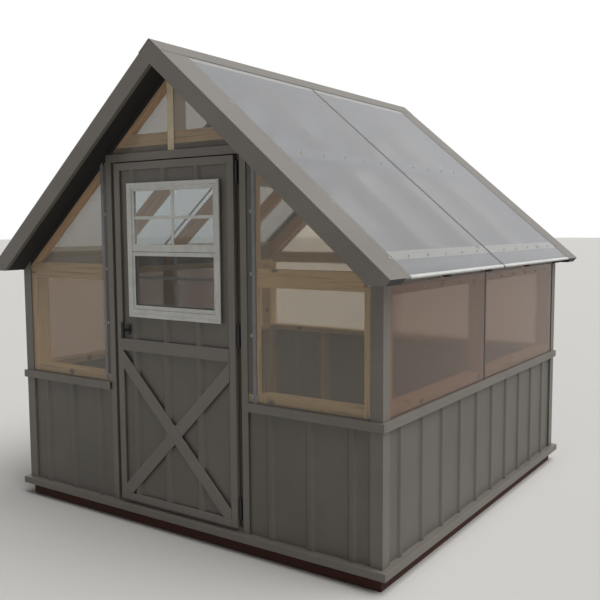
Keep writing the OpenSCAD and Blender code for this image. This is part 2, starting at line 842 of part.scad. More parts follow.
module hinge_door_leaves() {
    edge = door_x - pin_x;
    color(black) for (z = hinge_mids) on_pin(z - hinge_h / 2) difference() {
        union() {
            knuckles([1, 3]);
            translate([edge, 0, 0]) cube([leaf_t, 35, hinge_h]);
            for (i = [1, 3]) translate([edge, -2.5, i * knuckle + seat_gap / 2])
                cube([-edge, 5, knuckle - seat_gap]);
        }
        pin_hole();
    }
}

// Door leaf; its depths are measured outwards from the framing, like the walls'
module door_block(low_x, high_x, back, front, low_z, high_z) {
    translate([low_x, -half_d - front, low_z]) cube([high_x - low_x, front - back, high_z - low_z]);
}
module spindle_hole(r) {
    translate([latch_x, -half_d + far / 2, latch_z]) rotate([90, 0, 0]) cylinder(r = r, h = far);
}
module door_core() {
    x = door_x - sheet;
    in_x = win_off + win_w / 2 - fin + core_gap;
    rail_x = in_x - seat_gap;
    front = door_pan - sheet;
    low = door_z + sheet;
    high = door_top - sheet;
    mid = mid_rail_z + mid_rail_h / 2 + board_w / 2;
    under_window = win_z + fin - 2;
    color(timber) {
        difference() {
            door_block(-x, -in_x, core_back, front, low, high);
            spindle_hole(spindle_r + 2);
        }
        door_block(in_x, x, core_back, front, low, high);
        for (span = [[low, low + board_w], [mid - board_w, mid],
            [under_window - board_t, under_window], [high - board_w, high]])
            door_block(-rail_x, rail_x, core_back, front, span[0], span[1]);
    }
}
module door_skin() {
    end = door_x - 2 * sheet;
    low = door_z + 2 * sheet;
    body = win_w / 2 - fin;
    ribs = [for (i = [-1:1]) door_rib + i * rib_pitch];
    color(paint) difference() {
        translate([0, -half_d, low]) linear_extrude(door_top - 2 * sheet - low)
            polygon(folded(ribbed(-end, end, ribs, door_pan, door_rib_h), sheet));
        door_block(win_x - body - 1, win_x + body + 1, -50, 50, win_z + fin - 1, win_top - fin + 1);
        spindle_hole(spindle_r + 2);
    }
}
// Mitred frame of folded trims round the leaf
module leaf_mitre(pts) {
    intersection() {
        union() children();
        gable_prism(-half_d - 60, -half_d + 60, pts);
    }
}
module door_edge_trims() {
    hem = 8;
    lap = 20;
    e = 5;
    d = 60;
    g = seat_gap * 1.4;
    color(paint) {
        for (s = [0, 1]) mirror([s, 0, 0])
            leaf_mitre([[door_x + e, door_z - e], [door_x + e, door_top + e],
                [door_x - d, door_top - d], [door_x - d, door_z + d]])
                translate([0, -half_d, door_z]) linear_extrude(door_top - door_z) polygon(folded([
                    [inner_x, hem - door_face], [inner_x, -door_face], [door_x, -door_face],
                    [door_x, -door_back], [door_x - lap, -door_back]], sheet));
        leaf_mitre([[g - door_x - e, door_top + e], [g + d - door_x, door_top - d],
            [door_x - d - g, door_top - d], [door_x + e - g, door_top + e]])
            rail(0, -door_x, door_x, [[door_back, door_top - lap], [door_back, door_top],
                [door_face, door_top], [door_face, door_top - stile_face]]);
        leaf_mitre([[g - door_x - e, door_z - e], [g + d - door_x, door_z + d],
            [door_x - d - g, door_z + d], [door_x + e - g, door_z - e]])
            rail(0, -door_x, door_x, [[door_face, low_rail_top], [door_face, door_z],
                [door_back, door_z], [door_back, door_z + lap]]);
    }
}
module door_mid_rail() {
    color(paint) door_block(seat_gap - inner_x, inner_x - seat_gap,
        door_rib_out, door_rib_out + brace_t, mid_rail_z, mid_rail_z + mid_rail_h);
}
// One brace: from a foot corner of the panel up to the other stile, below the middle rail
module brace_bar(width) {
    rise = mid_rail_z - low_rail_top;
    top = mid_rail_z - brace_w / 2 * norm([2 * inner_x, rise]) / (2 * inner_x);
    run = [2 * inner_x, top - low_rail_top];
    over = 60;
    translate([-inner_x, low_rail_top]) rotate(atan2(run[1], run[0]))
        translate([-over, -width / 2]) square([norm(run) + 2 * over, width]);
}
module door_braces() {
    x = inner_x - seat_gap;
    module panel() {
        translate([-x, low_rail_top + seat_gap])
            square([2 * x, mid_rail_z - low_rail_top - 2 * seat_gap]);
    }
    color(paint) translate([0, -half_d - door_rib_out, 0]) rotate([90, 0, 0])
        linear_extrude(brace_t) {
            intersection() {
                mirror([1, 0]) brace_bar(brace_w);
                panel();
            }
            intersection() {
                difference() {
                    brace_bar(brace_w);
                    mirror([1, 0]) brace_bar(brace_w + 2 * seat_gap);
                }
                panel();
            }
        }
}

// Window
module window_frame() {
    body = win_w / 2 - fin;
    color(white) difference() {
        union() {
            door_block(win_x - win_w / 2, win_x + win_w / 2, door_rib_out, win_face_out,
                win_z, win_top);
            door_block(win_x - body, win_x + body, frame_back, door_rib_out,
                win_z + fin, win_top - fin);
        }
        door_block(win_x - open_x, win_x + open_x, -60, 60, open_z, open_top);
        door_block(win_x - track_x, win_x + track_x, upper_back - slide_gap, door_rib_out,
            open_z, track_top);
        door_block(win_x - track_x, win_x + track_x, lower_back - slide_gap,
            lower_front + slide_gap, open_z, track_top);
    }
}
// A sash with a cross of glazing bars in front of its pane
module sash(back, front, low, high, low_rail, high_rail) {
    in_x = sash_x - sash_face;
    pane = back + 5 + glass_t;
    mid = (low + low_rail + high - high_rail) / 2;
    color(white) {
        difference() {
            door_block(win_x - sash_x, win_x + sash_x, back, front, low, high);
            door_block(win_x - in_x, win_x + in_x, back - 1, front + 1,
                low + low_rail, high - high_rail);
        }
        door_block(win_x - bar_w / 2, win_x + bar_w / 2, pane, pane + 4, low + 1, high - 1);
        door_block(win_x - sash_x + 1, win_x + sash_x - 1, pane, pane + 4,
            mid - bar_w / 2, mid + bar_w / 2);
    }
}
module sash_pane(back, low, high) {
    in_x = sash_x - sash_face;
    color([0.7, 0.78, 0.8, 0.4]) door_block(win_x - in_x, win_x + in_x, back + 5,
        back + 5 + glass_t, low, high);
}
upper_top = track_top - 2;
lower_z = open_z + slide_gap;
lower_top = meet_z + meeting_h;
module upper_sash() sash(upper_back, upper_front, meet_z, upper_top, meeting_h, sash_face);
module upper_glass() sash_pane(upper_back, meet_z + meeting_h, upper_top - sash_face);
module lower_sash() {
    low_rail = sash_face + 8;
    sash(lower_back, lower_front, lower_z, lower_top, low_rail, meeting_h - 6);
    color(white) door_block(win_x - 60, win_x + 60, lower_back - 9, lower_back,
        lower_z + 8, lower_z + 14);
}
module lower_glass() sash_pane(lower_back, lower_z + sash_face + 8, lower_top - meeting_h + 6);

// Insect screen before the lower sash: a light frame, and a mesh drawn as a thin sheet
screen_x = track_x - slide_gap;
screen_z = open_z + seat_gap;
screen_top = meet_z - seat_gap;
mesh_t = 0.6;
module screen_panel(in, back, front) {
    door_block(win_x - screen_x + in, win_x + screen_x - in, back, front,
        screen_z + in, screen_top - in);
}
module screen_frame() {
    color(white) difference() {
        screen_panel(0, upper_front - screen_t, upper_front);
        screen_panel(screen_face, upper_front - screen_t - 1, upper_front + 1);
    }
}
module screen_mesh() {
    mid = upper_front - screen_t / 2;
    color("#3b3d3c") screen_panel(screen_face + seat_gap, mid - mesh_t / 2, mid + mesh_t / 2);
}

// Latch: a grip outside turns an arm behind the door stop
module on_spindle(out) {
    translate([latch_x, -half_d - out, latch_z]) rotate([90, 0, 0]) children();
}
module latch_rose() {
    color(black) on_spindle(door_pan) difference() {
        union() {
            hull() for (s = [-1, 1]) translate([0, s * 15, 0]) cylinder(r = 16, h = rose_t, $fn = 40);
            cylinder(r = 12, h = rose_t + 6);
        }
        translate([0, 0, -1]) cylinder(r = spindle_r + running, h = rose_t + 8);
    }
}
// Grip: turned, thin at the waist and swelling to round ends
module grip() {
    steps = 14;
    half = grip_len / 2;
    waist = 8;
    swell = 3;
    function radius(t) = (waist + swell * t * t) * sqrt(max(0, 1 - pow(t, 10)));
    rotate_extrude($fn = 36) polygon(concat([[0, -half]],
        [for (i = [1 - steps:steps - 1]) [radius(i / steps), i / steps * half]], [[0, half]]));
}
module latch_handle() {
    color(black) union() {
        on_spindle(arm_front - arm_t - 7)
            cylinder(r = spindle_r, h = grip_out - arm_front + arm_t + 7);
        on_spindle(grip_out) rotate([-90, 0, 0]) grip();
    }
}
module latch_cam() {
    color(black) {
        on_spindle(arm_front - arm_t) difference() {
            hull() {
                cylinder(r = 13, h = arm_t, $fn = 32);
                translate([-10, -arm_len, 0]) cube([20, 6, arm_t]);
            }
            translate([0, 0, -1]) cylinder(r = spindle_r + running, h = arm_t + 2);
        }
        on_spindle(arm_front - arm_t - 5) difference() {
            cylinder(r = 11, h = 5, $fn = 6);
            translate([0, 0, -1]) cylinder(r = spindle_r + running, h = 7);
        }
    }
}

base_timbers();
bottom_plates();
corner_posts();
wall_studs();
sill_plates();
top_plates();
gable_girts();
door_jambs();
door_liner();
door_stops();
door_header();
king_posts();
rafters();
purlins();
ridge_board();
eave_blocks();
fly_rafters();
siding_front();
siding_right();
siding_left();
siding_back();
base_trims();
belt_trims_ends();
belt_trim_right();
belt_trim_left();
corner_trims();
door_casings();
rake_trims_front();
rake_trims_back();
rake_soffits();
ridge_cap();
eave_channels();
roof_panels_right();
roof_panels_left();
roof_joiners();
glazing_front();
glazing_right();
glazing_left();
glazing_back();
wall_joiners();
gable_strip();
hinge_jamb_leaves();
hinge_pins();
panel_screws();
door_core();
door_skin();
door_edge_trims();
door_mid_rail();
door_braces();
hinge_door_leaves();
window_frame();
upper_sash();
upper_glass();
screen_frame();
screen_mesh();
latch_rose();
lower_sash();
lower_glass();
latch_handle();
latch_cam();
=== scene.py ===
"""A timber framed garden greenhouse: ribbed steel below the sills, twin-wall glazing above,
and a steel faced door with crossed braces and a single-hung window.

Sizes are in metres and the front, with the door, faces -Y. A wall's own depths are measured
outwards from its framing.
"""

from __future__ import annotations

import json
import logging
import math
from dataclasses import dataclass, field
from enum import Enum

import bmesh
import bpy
import numpy as np
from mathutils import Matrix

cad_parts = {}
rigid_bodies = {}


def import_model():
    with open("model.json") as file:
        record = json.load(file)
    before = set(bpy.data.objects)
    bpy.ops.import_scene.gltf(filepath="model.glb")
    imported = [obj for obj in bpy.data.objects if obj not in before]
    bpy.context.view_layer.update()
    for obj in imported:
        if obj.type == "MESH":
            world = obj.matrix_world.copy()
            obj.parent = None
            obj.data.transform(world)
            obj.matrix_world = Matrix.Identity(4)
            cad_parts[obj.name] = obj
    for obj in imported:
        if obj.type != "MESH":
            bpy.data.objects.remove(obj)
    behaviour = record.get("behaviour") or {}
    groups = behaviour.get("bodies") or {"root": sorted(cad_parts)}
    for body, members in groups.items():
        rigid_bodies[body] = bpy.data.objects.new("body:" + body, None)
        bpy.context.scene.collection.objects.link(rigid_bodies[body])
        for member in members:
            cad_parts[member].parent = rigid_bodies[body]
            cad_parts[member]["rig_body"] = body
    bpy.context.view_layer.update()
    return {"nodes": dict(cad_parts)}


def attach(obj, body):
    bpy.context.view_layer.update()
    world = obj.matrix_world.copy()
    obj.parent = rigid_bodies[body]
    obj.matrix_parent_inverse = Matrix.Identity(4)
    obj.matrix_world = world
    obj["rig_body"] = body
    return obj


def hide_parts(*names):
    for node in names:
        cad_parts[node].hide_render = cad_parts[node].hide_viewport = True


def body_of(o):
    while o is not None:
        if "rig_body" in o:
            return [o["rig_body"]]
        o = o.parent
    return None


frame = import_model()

log = logging.getLogger("greenhouse")
Array = np.ndarray
Profile = tuple[tuple[float, float], ...]
MM = 0.001
SHARP = math.radians(34)  # edges that turn further than this stay sharp
FLAT = math.radians(0.6)  # faces that turn less than this are one flat region


# Mesh making


class Cap(Enum):
    """How the ends of a lofted form are closed."""

    STRIP = "quads between the two skins of a sheet"
    FACE = "one face"


@dataclass
class Mesh:
    """Corners and faces as arrays, before they become an object.

    Attributes:
        points: Corner positions, shape (n, 3).
        quads: Corner numbers of the four-sided faces, shape (m, 4).
        others: Faces with any other number of corners.
    """

    points: Array
    quads: Array
    others: list[list[int]] = field(default_factory=list)

    def __add__(self, more: Mesh) -> Mesh:
        """Puts two meshes side by side in one.

        Args:
            more: The other mesh.

        Returns:
            A mesh of both.
        """
        n = len(self.points)
        return Mesh(
            np.vstack([self.points, more.points]),
            np.vstack([self.quads, more.quads + n]),
            self.others + [[i + n for i in f] for f in more.others],
        )

    def turned_out(self) -> Mesh:
        """Turns the faces outwards, by the sign of the volume they hold.

        Each face adds the volume of the pyramid from the middle, so a negative sum means that
        the faces point inwards.

        Returns:
            The same mesh, or one with every face reversed.
        """
        p = self.points - self.points.mean(axis=0)
        q = p[self.quads]
        fans = [q[:, [0, 1, 2]], q[:, [0, 2, 3]]]
        for f in self.others:
            ring = p[f]
            first = np.broadcast_to(ring[0], ring[1:-1].shape)
            fans.append(np.stack([first, ring[1:-1], ring[2:]], axis=1))
        t = np.vstack(fans)
        if np.einsum("ij,ij->i", t[:, 0], np.cross(t[:, 1], t[:, 2])).sum() < 0:
            return Mesh(self.points, self.quads[:, ::-1], [f[::-1] for f in self.others])
        return self


def joined(parts: list[Mesh]) -> Mesh:
    """Puts any number of meshes side by side in one."""
    return sum(parts[1:], parts[0])


def unit(v: Array) -> Array:
    """Vectors of length one along the last axis."""
    return v / np.linalg.norm(v, axis=-1, keepdims=True)


def left_of(d: Array) -> Array:
    """Plane directions turned a quarter to the left."""
    return np.stack([-d[..., 1], d[..., 0]], axis=-1)


def bent(corners: Array, radius: float, steps: int) -> tuple[Array, Array]:
    """A plane path whose corners are rounded.

    Each corner gives way to an arc of the radius, whose tangent points lie
    radius * tan(half the turn) from it. The normal turns evenly along the arc.

    Args:
        corners: The path's corners, shape (n, 2).
        radius: Radius of the bends.
        steps: Number of facets in a bend.

    Returns:
        Points of the rounded path and the left-hand normal at each.
    """
    d = unit(np.diff(corners, axis=0))
    cross = d[:-1, 0] * d[1:, 1] - d[:-1, 1] * d[1:, 0]
    turn = np.arctan2(cross, np.einsum("ij,ij->i", d[:-1], d[1:]))
    reach = radius * np.tan(np.abs(turn) / 2)
    side = np.sign(turn)[:, None]
    centre = corners[1:-1] - d[:-1] * reach[:, None] + left_of(d[:-1]) * side * radius
    a = turn[:, None] * np.linspace(0, 1, steps + 1)[None]
    x, y = np.moveaxis(left_of(d[:-1])[:, None, :], -1, 0)
    normal = np.stack([x * np.cos(a) - y * np.sin(a), x * np.sin(a) + y * np.cos(a)], axis=-1)
    arc = centre[:, None, :] - side[:, None, :] * radius * normal
    points = np.vstack([corners[:1], arc.reshape(-1, 2), corners[-1:]])
    normals = np.vstack([left_of(d[:1]), normal.reshape(-1, 2), left_of(d[-1:])])
    return points, normals


def sheet_loop(corners: list | Array, thickness: float, radius: float, steps: int = 3) -> Array:
    """The outline of a bent sheet: out along one skin and back along the other.

    Args:
        corners: Corners of the outer skin; the metal lies on its left.
        thickness: Thickness of the sheet.
        radius: Radius of the outer bends.
        steps: Facets in a bend.

    Returns:
        The loop's points, shape (2 n, 2).
    """
    p, n = bent(np.asarray(corners, float), radius, steps)
    return np.vstack([p, (p + n * thickness)[::-1]])


def between(stations: int, around: int) -> Array:
    """Faces between the neighbouring stations of a grid that is closed round its loop.

    Args:
        stations: Number of stations.
        around: Number of points round each.

    Returns:
        Corner numbers, shape (m, 4).
    """
    i, j = np.meshgrid(np.arange(stations - 1), np.arange(around), indexing="ij")
    near, far, ahead = i * around, (i + 1) * around, (j + 1) % around
    return np.stack([near + j, near + ahead, far + ahead, far + j], axis=-1).reshape(-1, 4)


def loft(grid: Array, cap: Cap = Cap.STRIP) -> Mesh:
    """Skins a grid of stations by loop points, closed round the loop.

    Args:
        grid: Points, shape (stations, loop, 3).
        cap: How the two ends are closed.

    Returns:
        The mesh, with its faces outwards.
    """
    k, n = grid.shape[:2]
    quads, others = between(k, n), []
    if cap is Cap.STRIP:
        a = np.arange(n // 2 - 1)
        end = np.stack([a, a + 1, n - 2 - a, n - 1 - a], axis=-1)
        quads = np.vstack([quads, end[:, ::-1], end + (k - 1) * n])
    else:
        others = [list(range(n - 1, -1, -1)), list(range((k - 1) * n, k * n))]
    return Mesh(grid.reshape(-1, 3), quads, others).turned_out()


def carried(loop: Array, route: Array) -> Mesh:
    """Carries a section along a route in plan, with mitred corners.

    The section's first number is its distance to the right of the route and the second its
    height. At a corner the section is stretched along the mitre, by the sum of the two sides'
    normals over one plus their product.

    Args:
        loop: The section, shape (n, 2).
        route: Corners of the route in plan, shape (k, 2).

    Returns:
        The lofted mesh.
    """
    normal = -left_of(unit(np.diff(route, axis=0)))
    before = np.vstack([normal[:1], normal])
    after = np.vstack([normal, normal[-1:]])
    mitre = (before + after) / (1 + np.einsum("ij,ij->i", before, after))[:, None]
    plan = route[:, None, :] + loop[None, :, :1] * mitre[:, None, :]
    z = np.broadcast_to(loop[None, :, 1:], plan.shape[:2] + (1,))
    return loft(np.concatenate([plan, z], axis=-1))


def spun(profile: Array, steps: int) -> Mesh:
    """Turns a profile round the Z axis.

    A ring point is the radius times the cosine and the sine of its angle; the two ends are
    fans of triangles round a point on the axis.

    Args:
        profile: Radius and height pairs; it starts and ends on the axis.
        steps: Facets round it.

    Returns:
        A closed form of revolution.
    """
    w = np.array([0.0, 0.0, 1.0])
    u = unit(np.cross(w, [0.3, 0.5, 0.81]))
    a = np.arange(steps)[None, :, None] * 2 * math.pi / steps
    ring = profile[1:-1, None]
    grid = ring[..., :1] * (np.cos(a) * u + np.sin(a) * np.cross(w, u)) + ring[..., 1:] * w
    ends = profile[[0, -1], 1:] * w
    n, first = grid.shape[0] * steps, np.arange(steps)
    last = first + n - steps
    low = np.column_stack([np.full(steps, n), np.roll(first, -1), first])
    top = np.column_stack([np.full(steps, n + 1), last, np.roll(last, -1)])
    points = np.vstack([grid.reshape(-1, 3), ends])
    return Mesh(points, between(len(grid), steps), low.tolist() + top.tolist()).turned_out()


def stood(
    name: str, data: bpy.types.Mesh, finish: Finish, body: str, node: str, ease: float = 0.0
) -> bpy.types.Object:
    """Stands a mesh in the scene, smooth but for its sharp edges, and lets it ride on a body.

    Args:
        name: Name of the piece.
        data: Its mesh.
        finish: Its finish.
        body: The body that it moves with.
        node: The CAD node that it replaces, or an empty name.
        ease: Width of its rounded edges, or zero.

    Returns:
        The new object.
    """
    data.materials.append(finish.build())
    data.polygons.foreach_set("use_smooth", np.ones(len(data.polygons), bool))
    data.set_sharp_from_angle(angle=SHARP)
    made = bpy.data.objects.new(name, data)
    bpy.context.scene.collection.objects.link(made)
    if ease:
        bevel = made.modifiers.new("eased_edges", "BEVEL")
        bevel.width = ease
        bevel.segments = 2
        bevel.limit_method = "ANGLE"
        bevel.angle_limit = SHARP
    normals = made.modifiers.new("even_faces", "WEIGHTED_NORMAL")
    normals.keep_sharp = True
    # On folded sheet the broad faces rule, and the bends follow them
    normals.weight = 50 if ease else 90
    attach(made, body)
    if node:
        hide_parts(node)
    log.info("%s: %d faces", name, len(data.polygons))
    return made


def piece(
    name: str, mesh: Mesh, finish: Finish, node: str = "", body: str = "house"
) -> bpy.types.Object:
    """Makes a piece of corners and faces.

    Args:
        name: Name of the piece.
        mesh: Its corners and faces.
        finish: Its finish.
        node: The CAD node that it replaces, if any.
        body: The body that it moves with.

    Returns:
        The new object.
    """
    data = bpy.data.meshes.new(name)
    data.from_pydata(mesh.points.tolist(), [], mesh.quads.tolist() + mesh.others)
    data.validate()
    return stood(name, data, finish, body, node)


def taken(items: bpy.types.bpy_prop_collection, name: str, width: int, kind: type = float) -> Array:
    """Reads one property of a mesh's corners, edges or faces.

    Args:
        items: The corners, edges or faces.
        name: Name of the property.
        width: How many numbers it has.
        kind: Their type.

    Returns:
        The numbers, shape (n, width).
    """
    values = np.empty(len(items) * width, kind)
    items.foreach_get(name, values)
    return values.reshape(-1, width)


def merged(node: str) -> bpy.types.Mesh:
    """Copies a node's mesh with its corners joined and its flat regions made whole.

    Args:
        node: Name of the CAD node.

    Returns:
        The new mesh.
    """
    source = frame["nodes"][node].data
    raw = taken(source.vertices, "co", 3)
    tri = taken(source.loops, "vertex_index", 1, int).ravel()
    # Corners within a hundredth of a millimetre are one
    places, index = np.unique(np.round(raw, 5), axis=0, return_inverse=True)
    tri = index.ravel()[tri].reshape(-1, 3)
    tri = tri[(tri != np.roll(tri, 1, axis=1)).all(axis=1)]
    data = bpy.data.meshes.new(node + "_finished")
    data.from_pydata(places.tolist(), [], tri.tolist())
    work = bmesh.new()
    work.from_mesh(data)
    bmesh.ops.dissolve_limit(work, angle_limit=FLAT, verts=work.verts, edges=work.edges)
    bmesh.ops.triangulate(work, faces=[f for f in work.faces if len(f.verts) > 4])
    bmesh.ops.dissolve_limit(work, angle_limit=FLAT, verts=[], edges=work.edges)
    work.to_mesh(data)
    work.free()
    return data


def eased(
    node: str, finish: Finish, width: float, data: bpy.types.Mesh | None = None
) -> bpy.types.Object:
    """Stands a copy of a node in its place, with its edges rounded.

    Args:
        node: Name of the CAD node.
        finish: The copy's finish.
        width: Width of the rounded edges.
        data: The copy's mesh, if it is already made.

    Returns:
        The piece that replaces the node.
    """
    body = body_of(frame["nodes"][node])[0]
    return stood(node + "_finished", data or merged(node), finish, body, node, width)


def dress(node: str, finish: Finish) -> None:
    """Gives a CAD node a finish in place of its own materials.

    Args:
        node: Name of the CAD node.
        finish: The finish.
    """
    data = frame["nodes"][node].data
    data.materials.clear()
    data.materials.append(finish.build())
    log.info("%s: %s", node, finish.name)


# Finishes


def linear(code: str) -> tuple[float, float, float, float]:
    """Turns an sRGB hex colour into linear values, by the sRGB curve and its straight foot.

    Args:
        code: The colour, as #rrggbb.

    Returns:
        Red, green, blue and an alpha of one.
    """
    c = np.array([int(code[i : i + 2], 16) for i in (1, 3, 5)]) / 255
    c = np.where(c <= 0.04045, c / 12.92, ((c + 0.055) / 1.055) ** 2.4)
    return (*c.tolist(), 1.0)


Tree = bpy.types.NodeTree
Node = bpy.types.Node
Value = float | str | tuple | Node | bpy.types.NodeSocket


def add(
    tree: Tree,
    kind: str,
    inputs: dict[str | int, Value] | None = None,
    stops: tuple[tuple[float, str], ...] = (),
    **settings: object,
) -> Node:
    """Adds a node with its settings, and sets or links its inputs.

    Args:
        tree: The node tree.
        kind: The node's type, without its ShaderNode prefix.
        inputs: Input names or numbers. Each has a number, an sRGB hex colour, a socket, or a
            node whose first output is meant.
        stops: Two places and sRGB hex colours, for a node with a colour ramp.
        **settings: Attributes of the node.

    Returns:
        The new node.
    """
    made = tree.nodes.new("ShaderNode" + kind)
    for name, value in settings.items():
        setattr(made, name, value)
    for name, value in (inputs or {}).items():
        socket = made.inputs[name]
        value = value.outputs[0] if isinstance(value, Node) else value
        if isinstance(value, bpy.types.NodeSocket):
            tree.links.new(value, socket)
        else:
            socket.default_value = linear(value) if isinstance(value, str) else value
    if stops:
        for element, (at, code) in zip(made.color_ramp.elements, stops):
            element.position = at
            element.color = linear(code)
    return made


@dataclass(frozen=True)
class Finish:
    """A named surface finish. Each kind of finish builds its own nodes.

    Attributes:
        name: The real material and how its surface was made.
        slot: The record's material slot.
    """

    name: str
    slot: str

    def build(self) -> bpy.types.Material:
        """Makes the material once, and gives the same one afterwards.

        Returns:
            The material.
        """
        made = bpy.data.materials.get(self.name)
        if made is None:
            made = bpy.data.materials.new(self.name)
            made.use_nodes = True
            made.node_tree.nodes.clear()
            add(made.node_tree, "OutputMaterial", {"Surface": self.wire(made.node_tree)})
        return made

    def wire(self, tree: Tree) -> Node:
        """Adds the finish's nodes, of which the last one is its shader."""
        raise NotImplementedError


@dataclass(frozen=True)
class CoatedSteel(Finish):
    """Folded galvanised sheet under a baked polyester coat.

    The coat is a warm grey satin. Chalk and dust lighten it in wide soft patches, the flats
    carry the slight waves of thin sheet, and the paint itself has a fine grain.

    Attributes:
        colour: Clean colour.
        dusty: Colour under dust.
        roughness: Roughness of the coat.
        wave: Strength of the sheet's waves.
    """

    colour: str = "#58544d"
    dusty: str = "#645f59"
    roughness: float = 0.46
    wave: float = 0.25

    def wire(self, tree: Tree) -> Node:
        """Adds dust patches, sheet waves and paint grain.

        Args:
            tree: The material's nodes.

        Returns:
            The last shader.
        """
        at = add(tree, "TexCoord").outputs["Object"]
        # Dust lies in patches some 400 mm wide
        soft = {"Vector": at, "Scale": 2.3, "Detail": 5.0, "Roughness": 0.62}
        patch = add(tree, "TexNoise", soft)
        tint = add(tree, "ValToRGB", {"Fac": patch}, ((0.34, self.colour), (0.72, self.dusty)))
        dull = {"Value": patch, "To Min": self.roughness - 0.05, "To Max": self.roughness + 0.1}
        sheen = add(tree, "MapRange", dull)
        # Waves of the sheet are some 300 mm long and well under a millimetre high
        waves = add(tree, "TexNoise", {"Vector": at, "Scale": 3.4, "Detail": 1.0})
        # Paint grain is about a millimetre across
        grain = add(tree, "TexNoise", {"Vector": at, "Scale": 900.0, "Detail": 2.0})
        wavy = add(tree, "Bump", {"Height": waves, "Strength": self.wave, "Distance": 6 * MM})
        fine = {"Height": grain, "Strength": 0.12, "Distance": 0.4 * MM, "Normal": wavy}
        bumpy = add(tree, "Bump", fine)
        skin = {"Base Color": tint, "Roughness": sheen, "Normal": bumpy, "IOR": 1.5}
        return add(tree, "BsdfPrincipled", skin)


@dataclass(frozen=True)
class SawnTimber(Finish):
    """Sawn softwood, with the grain along each board.

    Earlywood is pale and latewood brown, in lines a few millimetres apart that swing round
    knots. Each board has a shade of its own.

    Attributes:
        early: Colour of the earlywood.
        late: Colour of the latewood.
        knot: Colour of the knots.
        shade: How far the boards differ in brightness.
        roughness: Roughness of the sawn face.
        tail: Distance from the middle of the house past which the ends are painted dark, as painted
            shade under the eave, or zero.
    """

    early: str
    late: str
    knot: str
    shade: float = 0.16
    roughness: float = 0.72
    tail: float = 0.0

    def wire(self, tree: Tree) -> Node:
        """Adds grain, knots, board shades and saw marks.

        Args:
            tree: The material's nodes.

        Returns:
            The last shader.
        """
        uv = add(tree, "UVMap", uv_map="grain")
        board = add(tree, "Attribute", attribute_name="board").outputs["Fac"]
        # Knots are some 30 mm across in a rim as wide again, two or three to a metre of board
        cell = add(tree, "Mapping", {"Vector": uv, "Scale": (7.0, 9.0, 1.0)})
        spot = add(tree, "TexVoronoi", {"Vector": cell, "Scale": 1.0, "Randomness": 0.95})
        rare = add(tree, "SeparateColor", {"Color": spot.outputs["Color"]})
        few = add(tree, "Math", {0: rare, 1: 0.6}, operation="GREATER_THAN")
        fall = {"From Min": 0.06, "From Max": 0.3, "To Min": 1.0, "To Max": 0.0}
        near = add(tree, "MapRange", {"Value": spot.outputs["Distance"], **fall})
        knots = add(tree, "Math", {0: near, 1: few}, operation="MULTIPLY")
        # Latewood lines are 4 mm apart. They are drawn at some 9 mm, so that they show, and run
        # for a third of a metre
        along = add(tree, "Mapping", {"Vector": uv, "Scale": (1.1, 42.0, 1.0)})
        swing = add(tree, "VectorMath", {0: along, 1: knots}, operation="ADD")
        streaks = {"Scale": 2.6, "Detail": 6.0, "Roughness": 0.55, "Distortion": 0.5}
        fibre = add(tree, "TexNoise", {"Vector": swing, **streaks})
        stops = ((0.52, self.early), (0.66, self.late))
        wood = add(tree, "ValToRGB", {"Fac": fibre}, stops)
        core = add(tree, "MapRange", {"Value": knots, "From Min": 0.35, "From Max": 0.8})
        mix = {"Factor": core, 6: wood, 7: self.knot}
        knotty = add(tree, "Mix", mix, data_type="RGBA").outputs[2]
        spread = {"Value": board, "To Min": 1.0 - self.shade, "To Max": 1.0 + self.shade}
        own = add(tree, "MapRange", spread)
        tint = add(tree, "HueSaturation", {"Color": knotty, "Value": own}).outputs[0]
        # Ends outside the walls take a dark brown: painted shade under the eave
        if self.tail:
            place = add(tree, "TexCoord").outputs["Object"]
            aside = add(tree, "SeparateXYZ", {"Vector": place})
            away = add(tree, "Math", {0: aside}, operation="ABSOLUTE")
            outside = add(tree, "Math", {0: away, 1: self.tail}, operation="GREATER_THAN")
            mix = {"Factor": outside, 6: tint, 7: "#3a332c"}
            tint = add(tree, "Mix", mix, data_type="RGBA").outputs[2]
        # Saw marks are some 2.4 mm apart along the board
        saw = add(tree, "Mapping", {"Vector": uv, "Scale": (420.0, 30.0, 1.0)})
        marks = add(tree, "TexNoise", {"Vector": saw, "Scale": 1.0, "Detail": 2.0})
        rough = add(tree, "Bump", {"Height": marks, "Strength": 0.35, "Distance": 0.6 * MM})
        skin = {"Base Color": tint, "Roughness": self.roughness, "Normal": rough, "IOR": 1.45}
        return add(tree, "BsdfPrincipled", skin)


class Across(Enum):
    """Axis along which the webs of a sheet follow each other."""

    X = "X"
    Y = "Y"


